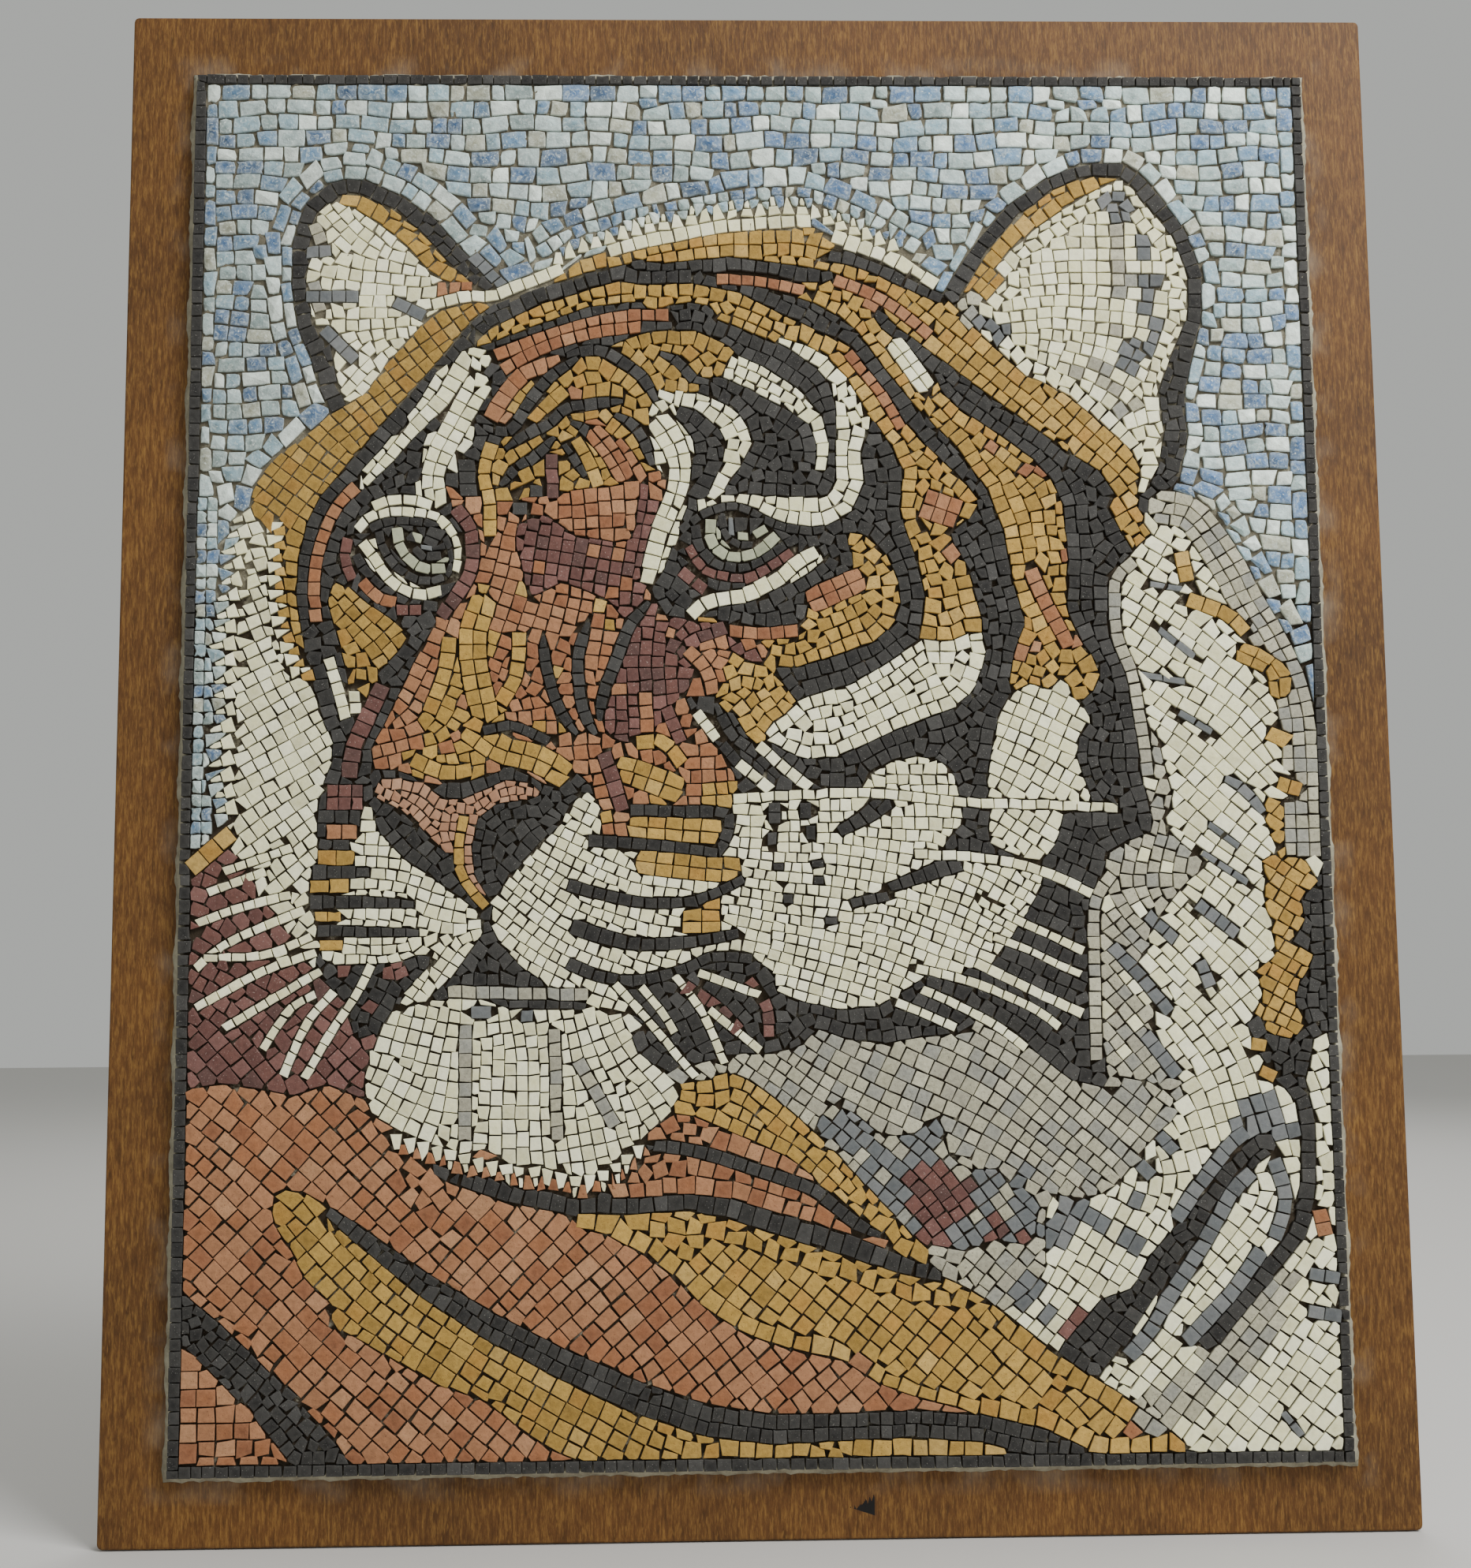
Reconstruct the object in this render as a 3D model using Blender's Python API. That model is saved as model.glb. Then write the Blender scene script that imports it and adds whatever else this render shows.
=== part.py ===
"""A wall panel in stone mosaic: a tiger's head in cut tesserae, glued to a wooden board.

The panel hangs with its back on the plane y = 0 and its face towards -Y, +X to the right and
+Z up. The origin is the centre of the back. From back to front it has a wooden backing board,
a thin bed of adhesive, and one layer of tesserae. Each broad area of one stone is a solid here.
"""

import math
from dataclasses import dataclass

import bmesh
import bpy
from mathutils import Vector

# Driving sizes, in metres
MOSAIC_WIDTH = 0.446
MOSAIC_HEIGHT = 0.546
BARE_MARGIN = 0.027
BOARD_THICKNESS = 0.012
BOARD_CORNER_RADIUS = 0.002
BOARD_EDGE_EASING = 0.0008
BED_REACH = 0.002
BED_THICKNESS = 0.0017
BED_EDGE_ROUNDING = 0.0006
TESSERA_HEIGHT = 0.004
BORDER_ROW_WIDTH = 0.004
JOINT = 0.0004
LAYER_GAP = 0.0003

# The drawing of the picture is laid out in its own units, one of them a millimetre on this
# panel, from the centre of the field inside the border. The real field stretches it to fit.
DRAWING_WIDTH = 438.0
DRAWING_HEIGHT = 538.0

# What follows from the driving sizes
BOARD_WIDTH = MOSAIC_WIDTH + 2 * BARE_MARGIN
BOARD_HEIGHT = MOSAIC_HEIGHT + 2 * BARE_MARGIN
BED_WIDTH = MOSAIC_WIDTH + 2 * BED_REACH
BED_HEIGHT = MOSAIC_HEIGHT + 2 * BED_REACH
FIELD_WIDTH = MOSAIC_WIDTH - 2 * BORDER_ROW_WIDTH
FIELD_HEIGHT = MOSAIC_HEIGHT - 2 * BORDER_ROW_WIDTH
BED_BACK = -BOARD_THICKNESS - LAYER_GAP
BED_FRONT = BED_BACK - BED_THICKNESS
STONE_BACK = BED_FRONT - LAYER_GAP
STONE_FRONT = STONE_BACK - TESSERA_HEIGHT

CUTTER_OVERRUN = 0.002
CURVE_BOW = 0.8
CORNER_SEGMENTS = 3
EASING_SEGMENTS = 2

SHARP = True


@dataclass(frozen=True)
class Patch:
    """An area drawn by its edge: (x, z) points on a smooth closed curve, SHARP at a corner."""
    name: str
    stone: str
    edge: tuple


@dataclass(frozen=True)
class Band:
    """A stripe drawn by its middle: (x, z, width) points on a smooth open curve."""
    name: str
    stone: str
    middle: tuple


# Colour as sRGB hex, roughness and metallic of each finish
FINISHES = {
    "wood": ("7a5233", 0.55, 0.0),
    "adhesive": ("a8a594", 0.9, 0.0),
    "black": ("34363a", 0.6, 0.0),
    "blue_white": ("b2bfcb", 0.7, 0.0),
    "cream": ("dad6c4", 0.65, 0.0),
    "warm_grey": ("b3afa4", 0.7, 0.0),
    "slate": ("82848a", 0.6, 0.0),
    "pale_grey_green": ("aaada0", 0.6, 0.0),
    "ochre": ("b98a45", 0.75, 0.0),
    "terracotta": ("bb785c", 0.75, 0.0),
    "wine": ("7b4c47", 0.7, 0.0),
    "pink": ("c88f7b", 0.75, 0.0),
}

# The picture, from what lies underneath to what is set into it. An area reaches under those
# that come after it, and each of those cuts its own place, with a joint, out of all before it.
PICTURE = (
    Patch("sky", "blue_white", (
        (-230, 280, SHARP), (230, 280, SHARP), (230, 0, SHARP), (160, 30, SHARP),
        (120, 90, SHARP), (0, 150, SHARP), (-120, 120, SHARP), (-160, 60, SHARP),
        (-160, -40, SHARP), (-230, -62, SHARP))),

    # The mane and the throat, to the right and below
    Patch("mane", "cream", (
        (228, 2, SHARP), (219, 14), (212, 29), (206, 44), (200, 57), (193, 69), (188, 79),
        (184, 89), (176, 97), (167, 99.5), (156, 95.5), (145, 92), (135, 60), (120, 0),
        (110, -60), (110, -110), (60, -150), (40, -190), (70, -230), (112, -262),
        (120, -280, SHARP), (230, -280, SHARP))),
    Patch("mane_shade", "warm_grey", (
        (152, 8), (158, -6), (161, -20), (158, -31), (166, -40), (172, -46), (165, -54),
        (158, -62), (151, -72), (147, -84), (151, -96), (151, -108), (155, -122),
        (162, -136), (150, -139), (125, -120), (118, -60), (130, -20), (142, 0))),
    Patch("throat", "warm_grey", (
        (132, -128), (148, -130), (160, -141), (150, -150), (143, -160), (135, -169),
        (122, -174), (111, -172), (107, -186), (107, -200), (101, -208), (90, -216),
        (70, -224), (40, -200), (0, -160), (-34, -142), (-44, -118), (0, -100),
        (60, -100), (110, -105))),
    Patch("throat_shade", "slate", (
        (27, -138), (35, -141), (45, -149), (58, -149), (67, -143), (71, -157),
        (80, -163), (90, -163), (97, -174), (104, -181), (100, -191), (88, -189),
        (76, -193), (62, -190), (45, -182), (30, -166), (20, -150))),
    Patch("mane_stripe_upper", "black", (
        (226, -48, SHARP), (226, -112, SHARP), (213, -114), (211, -124), (209, -130),
        (212, -142), (212, -160), (211, -178), (207, -189), (198, -200), (188, -211),
        (178, -222), (168, -231), (163, -227), (172, -217), (184, -205), (195, -194),
        (203, -182), (206, -168), (207, -150), (205, -138), (197, -127), (188, -109),
        (192, -102), (203, -95), (203, -60), (209, -54))),
    Patch("mane_stripe_lower", "black", (
        (195, -151), (197, -155), (190, -161), (180, -172), (170, -184), (160, -196),
        (150, -208), (142, -220), (133, -232), (126, -240), (110, -236), (119, -222),
        (128, -212), (140, -208), (147, -196), (158, -184), (170, -172), (180, -160),
        (190, -151))),
    Patch("mane_gold", "ochre", (
        (198, -21), (206, -24), (212, -33), (211, -43), (217, -54), (210, -60),
        (211, -69), (206, -77), (214, -82), (208, -93), (206, -100), (210, -107),
        (204, -114), (191, -105), (194, -97), (192, -88), (199, -83), (198, -71),
        (196, -60), (197, -51), (195, -46), (202, -42), (199, -34))),

    # The shoulder and the body, to the left and below
    Patch("shoulder", "wine", (
        (-230, -55, SHARP), (-203, -31, SHARP), (-170, -20, SHARP), (-140, -60, SHARP),
        (-130, -152, SHARP), (-230, -152, SHARP))),
    Patch("body", "terracotta", (
        (-230, -131, SHARP), (-205, -128), (-191, -130), (-178, -132.5), (-165, -128.5),
        (-152, -134), (-144, -139), (-136, -144), (-115, -160), (-75, -172), (-30, -174),
        (0, -181), (40, -195), (70, -230), (90, -262), (80, -280, SHARP),
        (-165, -280, SHARP), (-230, -213, SHARP))),
    Patch("neck_band", "terracotta", (
        (-141, -145), (-128, -156), (-110, -162), (-90, -170), (-60, -174.5),
        (-30, -173.5), (0, -180), (30, -190), (56, -198), (40, -182), (25, -169),
        (8, -154), (-15, -138), (-45, -128), (-80, -138), (-120, -138))),
    Patch("neck_gold", "ochre", (
        (-42, -134), (-32, -129.5), (-20, -128), (-10, -126), (2, -133), (13, -142),
        (24, -152), (36, -165), (50, -180), (60, -191), (69, -203, SHARP), (57, -199),
        (48, -190), (38, -181), (24, -168), (10, -157), (-8, -149), (-25, -141.5),
        (-36, -140))),
    Patch("body_gold", "ochre", (
        (-76, -178), (-60, -185), (-45, -193), (-32, -203), (-22, -213), (-8, -222),
        (8, -228), (30, -233), (42, -241), (58, -247), (74, -251), (88, -257),
        (104, -264), (116, -280, SHARP), (176, -280, SHARP), (163, -269), (150, -258),
        (135, -247), (120, -238), (106, -228), (92, -217), (80, -208.5), (67, -202),
        (30, -190), (0, -180), (-30, -173.5), (-60, -174.5))),
    Patch("flank_gold", "ochre", (
        (-177, -168), (-167, -173), (-157, -182), (-138, -194), (-108, -214),
        (-78, -232), (-50, -247), (-20, -256), (20, -258), (60, -257), (92, -262),
        (104, -280, SHARP), (-56, -280, SHARP), (-68, -269), (-80, -264), (-92, -256),
        (-105, -246), (-122, -240), (-138, -231), (-152, -223), (-162, -217),
        (-165, -208), (-173, -200), (-178, -190), (-184, -181), (-185, -172))),
    Patch("corner_patch", "terracotta", (
        (-230, -212, SHARP), (-160, -280, SHARP), (-230, -280, SHARP))),
    Band("neck_stripe", "black", (
        (-143, -146.5, 2), (-134, -154, 7), (-118, -161.5, 7.5), (-98, -169, 7),
        (-74, -174.5, 6), (-50, -175.2, 5.5), (-29, -173.8, 5.5), (-12, -176.5, 7),
        (8, -183, 7.5), (32, -190.5, 8), (54, -198.5, 6), (70, -203.5, 3))),
    Band("long_stripe", "black", (
        (-166, -174.5, 3), (-155, -183, 5.5), (-130, -202, 8), (-104, -218.5, 9.5),
        (-76, -233, 10.5), (-48, -245.5, 11), (-22, -254.5, 11), (4, -258.2, 10.5),
        (30, -257.6, 9.5), (56, -256.8, 9.5), (82, -258.8, 9.5), (104, -264, 9.5),
        (126, -274, 9))),
    Band("corner_stripe", "black", (
        (-230, -205, 14), (-208, -223.5, 14.5), (-188, -243, 15), (-170, -263, 17),
        (-160, -278, 19))),

    # The ears
    Patch("left_ear", "cream", (
        (-155, 130), (-164, 134), (-169, 145), (-171, 156), (-177, 168), (-180.5, 184),
        (-180.5, 203), (-176, 217), (-167.5, 224.5), (-155, 225), (-142, 219),
        (-130, 210), (-118.5, 197.5), (-101, 180), (-105, 163), (-135, 143))),
    Band("left_ear_rim", "ochre", (
        (-168.7, 221.5, 4), (-159.7, 221.4, 6.5), (-148.4, 216.9, 10.5),
        (-136.3, 208.2, 11.5), (-126.3, 197.2, 12), (-117.3, 189.7, 10), (-104, 180.5, 8))),
    Band("left_ear_outline", "black", (
        (-163, 132, 6), (-168.5, 144, 7), (-171.5, 156, 8), (-178, 169, 6),
        (-181, 186, 5.2), (-180.8, 204, 5.5), (-176, 217.5, 6), (-167.5, 225, 6),
        (-155, 225.5, 6), (-142, 219.5, 6), (-130, 210.5, 7), (-119, 197.5, 7),
        (-96, 176, 6))),
    Patch("right_ear", "cream", (
        (82, 184), (92, 200.5), (104.5, 215), (119, 226.5), (135, 232.5), (148.5, 232),
        (160, 221), (170.5, 206), (176, 190), (175.5, 173), (170, 157), (165, 143),
        (166, 125), (163, 110), (150, 93), (135, 100), (110, 130), (85, 150), (74, 170))),
    Band("right_ear_rim", "ochre", (
        (80.5, 182, 5), (89.2, 191.6, 9), (98.2, 202.6, 9.5), (109.3, 214.2, 12),
        (121.4, 222.8, 12), (133.7, 228.4, 9), (147, 232, 4))),
    Band("right_ear_outline", "black", (
        (74, 172, 5), (81, 185.5, 6.5), (91.5, 202, 5.5), (104, 216.5, 5.5),
        (119, 227.5, 5), (136, 233.5, 5), (149, 233, 6), (160, 222, 6.5),
        (171, 207, 5.5), (176.8, 190, 5.5), (176, 172, 5.5), (170.5, 156, 8),
        (166, 142, 10), (167, 124, 9), (164, 109, 9), (150, 89, 4))),

    # The head: gold fur outside, and a dark mask that holds the stripes together
    Patch("left_side", "ochre", (
        (-102, 179.5), (-115, 178), (-126, 174.5), (-133, 168), (-149, 150),
        (-153, 142), (-160, 137.5), (-168, 133), (-177, 124.5), (-185, 119),
        (-192, 112), (-197, 104), (-198.5, 96), (-197, 80), (-196, 50), (-186, 20),
        (-165, 15), (-165, 60), (-158, 100), (-140, 125), (-112, 158), (-96, 172))),
    Patch("crown", "ochre", (
        (-106, 177.5), (-94, 183), (-84, 187.5), (-76, 190.5), (-70, 196), (-58, 199.5),
        (-44, 201.5), (-30, 203.5), (-18, 207), (-4, 208.5), (23, 209.5), (32, 206),
        (40, 203.5), (50, 199), (58, 193.5), (66, 187.5), (76, 181), (84, 173),
        (91, 164.5), (99, 156.5), (107, 148.5), (115, 145.5), (123, 141), (132, 133.5),
        (148, 119), (152.5, 110), (150.5, 99), (152, 90), (156, 84), (150, 79),
        (144, 75), (128, 85), (105, 108), (68, 140), (35, 160), (0, 170), (-60, 178),
        (-90, 172))),
    Patch("ruff", "cream", (
        (-198, 92), (-193, 86), (-190, 78), (-188, 68), (-190, 56), (-186, 47),
        (-180, 38), (-175, 27), (-165, 16), (-158, 0), (-155, -30), (-155, -70),
        (-162, -88), (-170, -87), (-176, -78), (-184, -67), (-191, -56), (-197, -47),
        (-204, -38), (-208, -30), (-205, -22), (-203, -14), (-210, -9), (-209, 1),
        (-211, 12), (-210, 24), (-207, 34), (-209, 43), (-209, 53), (-211, 62),
        (-207, 69), (-206, 77), (-203, 85))),
    Patch("mask", "black", (
        (-104, 177.5), (-120, 161.5), (-135, 143), (-149, 127), (-163, 110),
        (-171, 100), (-176, 90), (-179, 76), (-180, 62), (-178, 48), (-175, 35),
        (-170, 14), (-165, 3), (-165, -5), (-168.5, -13), (-170, -38), (-163, -55),
        (-158, -74), (-148, -86), (-138, -104), (-100, -115), (-62, -108), (-51, -100),
        (-20, -70), (50, -75), (96, -56), (107, -45), (108, -36), (105, 10), (112, 22), (116, 40),
        (112, 60), (112, 92), (90, 118), (66, 142), (50, 160), (40, 181), (31, 191),
        (18, 193.5), (-10, 197.2), (-34, 194.7), (-46, 195), (-70, 189.5), (-94, 181))),
    Patch("jaw", "black", (
        (47, 176), (56, 169), (76, 153.5), (100, 135), (124, 117), (142, 100),
        (139, 94.5), (148.5, 77), (144, 71), (139, 58), (140.5, 45), (146.5, 26),
        (150, 4), (148, -8), (152, -24), (152, -34), (144, -37), (135, -42),
        (132, -54), (128.5, -62), (126.5, -75), (127, -105), (132, -132), (104, -117),
        (82, -107.5), (74, -111.5), (62, -112), (48, -114.5), (34, -113), (22, -108.5),
        (13, -116), (-8, -118), (-22, -121), (-38, -125), (-52, -120), (-49, -106),
        (-49.5, -98), (-50, -90), (-25, -76), (0, -74), (15, -88), (45, -92), (60, -82), (80, -78),
        (95, -62), (103, -51), (106, -42), (109, -32), (112, -15), (108, 2), (114, 22), (118, 40),
        (114, 55), (114, 90), (106, 105), (90, 120), (69, 137), (60, 150), (48, 165))),
    Patch("eye_surround", "black", (
        (-38, 112), (-36, 132), (-31, 139.5), (-21, 137.5), (-12, 131.5), (-7, 122),
        (-10.5, 111.5), (-17, 100), (-6, 97.5), (7, 95), (20, 93), (33, 97), (37, 106),
        (36.5, 117), (38.5, 128), (38, 141), (46, 143), (57, 127), (67, 112),
        (71, 92), (74, 70), (75, 48), (72, 36), (58, 30), (43, 21), (25, 14), (10, 16),
        (-5, 30), (-22, 44), (-36, 46), (-44, 56), (-43, 70), (-38, 90))),
    Patch("mouth_corner", "black", (
        (-169, -76), (-168.5, -88), (-158, -98), (-156, -108), (-150, -118),
        (-138, -124), (-132, -112), (-135, -99.5), (-131, -93), (-124, -86), (-132, -76), (-150, -74))),
    Patch("temple_band", "ochre", (
        (-20, 190.8, SHARP), (-6, 191.2), (8, 189.8), (29, 186.4), (33, 190),
        (45, 186), (50, 178), (47, 173.5), (55, 164), (71, 149), (74, 142), (80, 135.5),
        (100, 122), (117, 106), (121, 96), (122.5, 75), (121.5, 54), (127, 41),
        (134, 28), (127, 18), (102, 14), (101, 38), (105.5, 49), (101, 65), (97.5, 86),
        (91, 103), (79, 120), (63, 137), (50.5, 153), (41, 167), (24, 178.5),
        (4, 184.5), (-8, 188))),
    Patch("brow_band", "ochre", (
        (-113, 160, SHARP), (-105, 167.5), (-85, 177.5), (-64, 184.3), (-54, 187),
        (-44, 185.5), (-26, 186.3), (-6, 182.5), (12, 173), (30, 164.5), (37, 160.5),
        (46, 147.5), (56, 133), (68, 119), (82, 105.5), (87.5, 98), (83, 90), (76, 85),
        (83, 71), (88, 50), (88, 40), (62, 34), (64, 46), (66, 60), (60, 83), (57, 93),
        (58, 110), (48, 129), (38, 145), (28, 155), (10, 161.5), (-6, 168.5),
        (-15, 171.5), (-17, 177), (-36, 177.3), (-46, 179), (-66, 176.8), (-86, 169.7),
        (-105, 162))),
    Patch("forehead", "ochre", (
        (-61, 158.5), (-53, 162.5), (-44, 166), (-35, 167), (-11, 161), (-6, 152),
        (-19, 147.5), (-26, 141), (-33, 139), (-36, 131), (-37, 122), (-38, 112),
        (-44, 104), (-50, 92), (-100, 90), (-108, 100), (-109, 112), (-98, 127),
        (-106, 131), (-103, 139), (-89, 151.5), (-70, 157.5))),
    Patch("left_brow", "cream", (
        (-117, 158), (-105, 156.5), (-107, 151), (-114, 147), (-105, 144.5),
        (-110, 136), (-112, 121), (-118, 115), (-121, 106), (-122, 96), (-132, 96),
        (-132.5, 112), (-130, 124), (-118, 142), (-121, 144), (-135, 127), (-150, 110),
        (-156, 103), (-157, 105), (-149, 117), (-133, 138))),
    Band("inner_brow", "cream", (
        (-35, 142, 7), (-37.5, 134, 9), (-37, 127, 15), (-33, 120, 17),
        (-31.5, 108, 15), (-33, 98, 12), (-37, 84, 9.5), (-40.5, 71, 7), (-43.5, 62, 2))),
    Band("outer_brow", "cream", (
        (9, 163.5, 1.5), (18, 159.5, 4.5), (26, 154.5, 6), (32.5, 147, 7),
        (36.5, 138, 9.5), (38.5, 128, 13), (36.5, 117, 10), (37, 106, 11),
        (33, 97, 11), (20, 93, 12), (7, 95, 9), (-6, 97.8, 5.5), (-23, 95.5, 5))),
    Band("right_brow", "cream", (
        (-11, 153, 10), (0, 148, 10.5), (15, 139, 9), (24, 130, 5.5),
        (26.5, 120, 4.5), (25.5, 110, 4))),
    Band("brow_curl", "cream", (
        (-32, 139.5, 5.5), (-22, 138, 6.5), (-12, 131.5, 9.5), (-7, 122, 10.5),
        (-10, 112, 6.5), (-18, 99, 3))),
    Patch("left_cheek", "ochre", (
        (-165.5, 66), (-160, 64), (-152, 57), (-143, 51), (-137, 44), (-141, 38),
        (-148, 30), (-157, 20), (-160, 30), (-163.5, 44))),
    Patch("bridge", "terracotta", (
        (-122, 104), (-120, 97), (-116, 88), (-114, 78), (-116, 68), (-121, 58),
        (-134, 34), (-144, 12), (-149.5, -8), (-140, -8), (-125, -14), (-117, -14),
        (-98, -8), (-90, -9.5), (-78, -15.5), (-71, -9), (-62, -26), (-61, -33),
        (-48, -35.5), (-32, -37.5), (-20, -39.5), (-14, -33), (-14.5, -25), (-8, -15),
        (-16, -3), (-24, 9), (-28, 20), (-12, 25), (-12, 40), (-28, 50.5), (-36, 52),
        (-42, 62), (-38, 78), (-34, 95), (-38, 110), (-55, 104), (-80, 101),
        (-112, 98))),
    Patch("right_cheek", "ochre", (
        (-28, 21), (-18, 20.5), (-10, 14), (-4, 4), (1, 0.5), (12, 8), (16, 16),
        (6, 32), (15, 31.5), (30, 36), (45, 41.5), (53, 48), (56, 57), (55, 66),
        (45, 82), (36, 84.5), (38, 75), (37, 67), (28, 61), (20, 57), (19, 51),
        (10, 46.5), (-14, 50.5), (-28, 50))),
    Patch("bridge_shade", "wine", (
        (-94, 88), (-82, 92), (-72, 84), (-60, 82), (-50, 82), (-47, 92), (-43, 106),
        (-34, 96), (-38, 78), (-42, 61), (-36, 52), (-12, 48.5), (4, 38), (2, 33),
        (-10, 38), (-25, 37), (-27, 24), (-34, 16), (-40, 8), (-52, 2), (-60, 8),
        (-57, 26), (-50, 42), (-57, 57), (-66, 62), (-76, 66), (-88, 60), (-92, 72))),
    Patch("cheek_white", "cream", (
        (3, 6), (10, 12), (17, 19), (35, 24), (48, 31), (58, 38), (64, 42), (76, 41.5),
        (88, 44.5), (88, 32), (84, 22), (76, 15), (62, 10), (50, 5), (30, -4),
        (18, -4.5), (8, 0))),
    Patch("jowl_white", "cream", (
        (99, 20.5), (107, 24.5), (114, 22), (119, 26.5), (123, 19), (130, 10),
        (125, 3), (124, -5), (129, -20), (127, -25.5), (118, -26.5), (116, -35),
        (110, -44), (98, -42), (90, -38), (90, -26), (89, -12), (92, 3))),
    Patch("right_pad", "cream", (
        (-9, -19), (5, -17.5), (25, -17), (39, -17), (44, -10.5), (52, -6), (62, -4),
        (71, -6), (76, -12), (78.5, -22), (79, -30), (70, -41), (80, -43),
        (97, -43.5), (109, -47), (106, -60), (97, -74), (84, -86), (70, -87),
        (62, -90), (45, -100.5), (15, -98), (6, -94), (3, -86), (-12, -78.5),
        (-25, -84), (-50, -92), (-47, -99), (-55, -101.5), (-68, -98), (-80, -92),
        (-92, -84), (-100, -75), (-104, -67), (-102, -58), (-88, -41), (-78, -31),
        (-66, -17), (-61, -24), (-62, -36), (-32, -38.5), (-18, -41), (-12, -35),
        (-10, -26))),
    Patch("left_pad", "cream", (
        (-152, -20), (-148, -31), (-138, -42), (-125, -51), (-114, -59), (-107, -67),
        (-107, -71), (-113, -80), (-128, -96), (-138, -98.5), (-133, -90), (-126, -80),
        (-140, -82.5), (-155, -83), (-168, -80.5), (-169, -72), (-172, -62),
        (-173, -52), (-169, -41), (-157, -38), (-154, -30))),
    Patch("nose", "pink", (
        (-150, -16), (-146, -12), (-138, -11.5), (-130, -14), (-122, -19.5),
        (-115, -20), (-98, -12.5), (-90, -13.5), (-85, -17.5), (-92, -20),
        (-102, -21.5), (-109, -27), (-111.5, -38), (-110, -50), (-105, -61),
        (-112, -55), (-119, -42), (-134, -27), (-142, -21.5))),
    Patch("chin", "cream", (
        (-141, -101), (-130, -98.5), (-108, -96.5), (-96, -100.5), (-66, -101),
        (-52, -103), (-46, -107), (-50, -111), (-44, -120), (-34, -128), (-32, -134),
        (-42, -146), (-55, -157), (-64, -164), (-75, -165), (-84, -159), (-95, -159.5),
        (-105, -153), (-118, -155.5), (-126, -150.5), (-137, -146), (-148, -140),
        (-151, -124), (-147, -112))),

    # The eyes
    Band("left_eye_white", "cream", (
        (-152.5, 82, 8), (-149, 74, 6.5), (-144.5, 68.5, 6), (-138.5, 64, 5.5),
        (-131, 61.3, 5), (-123, 63.5, 2))),
    Band("left_iris", "pale_grey_green", (
        (-141, 85, 5), (-137.5, 78, 6.5), (-131, 72.8, 6), (-124, 71.5, 6),
        (-119.5, 75, 3.5))),
    Band("right_eye_white", "cream", (
        (-25, 53.5, 6), (-18.5, 58, 6.5), (-8, 59.5, 5), (2, 62, 5.5), (11, 67, 6),
        (18.5, 72.5, 7.5), (25, 77, 6))),
    Band("right_iris", "pale_grey_green", (
        (-17, 88.5, 5), (-16.5, 81.5, 5.5), (-12, 76.8, 6), (-5, 75.2, 6),
        (2, 78, 5.5), (8, 83, 3))),
)


def linear(channel):
    """One sRGB channel, 0 to 1, as linear light."""
    if channel <= 0.04045:
        return channel / 12.92
    return ((channel + 0.055) / 1.055) ** 2.4


def material(finish):
    """The Principled material of a named finish, made once."""
    made = bpy.data.materials.get(finish)
    if made:
        return made
    hex_colour, roughness, metallic = FINISHES[finish]
    rgb = [linear(int(hex_colour[at:at + 2], 16) / 255) for at in (0, 2, 4)]
    made = bpy.data.materials.new(finish)
    made.use_nodes = True
    shader = made.node_tree.nodes["Principled BSDF"]
    shader.inputs["Base Color"].default_value = (*rgb, 1)
    shader.inputs["Roughness"].default_value = roughness
    shader.inputs["Metallic"].default_value = metallic
    made.diffuse_color = (*rgb, 1)
    return made


def add_object(name, bm, finish=None):
    """A scene object from a bmesh; without a finish it is a cutter and isn't part of the panel."""
    mesh = bpy.data.meshes.new(name)
    bm.to_mesh(mesh)
    bm.free()
    made = bpy.data.objects.new(name, mesh)
    bpy.context.scene.collection.objects.link(made)
    if finish:
        mesh.materials.append(material(finish))
    else:
        made.hide_render = True
        made.display_type = "WIRE"
    return made


def block(low, high):
    """A bmesh box between two corners."""
    bm = bmesh.new()
    bmesh.ops.create_cube(bm, size=1)
    size = Vector(high) - Vector(low)
    middle = (Vector(high) + Vector(low)) / 2
    bmesh.ops.scale(bm, vec=size, verts=bm.verts)
    bmesh.ops.translate(bm, vec=middle, verts=bm.verts)
    return bm


def edges_along_depth(bm):
    """The four edges of a box that run from its back to its front."""
    found = []
    for edge in bm.edges:
        span = edge.verts[0].co - edge.verts[1].co
        if abs(span.y) > abs(span.x) + abs(span.z):
            found.append(edge)
    return found


def front_rim(bm, front):
    """The edges that bound a slab's front face, which lies at y = front."""
    tolerance = 1e-6
    return [edge for edge in bm.edges
            if all(abs(vert.co.y - front) < tolerance for vert in edge.verts)]


def bevel(bm, edges, width, segments):
    """Round some edges of a bmesh."""
    bmesh.ops.bevel(bm, geom=edges, offset=width, segments=segments, profile=0.5,
                    affect="EDGES", clamp_overlap=True)


def build_board():
    """The wooden board, with slightly rounded corners and eased edges back and front."""
    bm = block((-BOARD_WIDTH / 2, -BOARD_THICKNESS, -BOARD_HEIGHT / 2),
               (BOARD_WIDTH / 2, 0, BOARD_HEIGHT / 2))
    bevel(bm, edges_along_depth(bm), BOARD_CORNER_RADIUS, CORNER_SEGMENTS)
    rims = front_rim(bm, -BOARD_THICKNESS) + front_rim(bm, 0)
    bevel(bm, rims, BOARD_EDGE_EASING, EASING_SEGMENTS)
    add_object("backing_board", bm, "wood")


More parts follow.
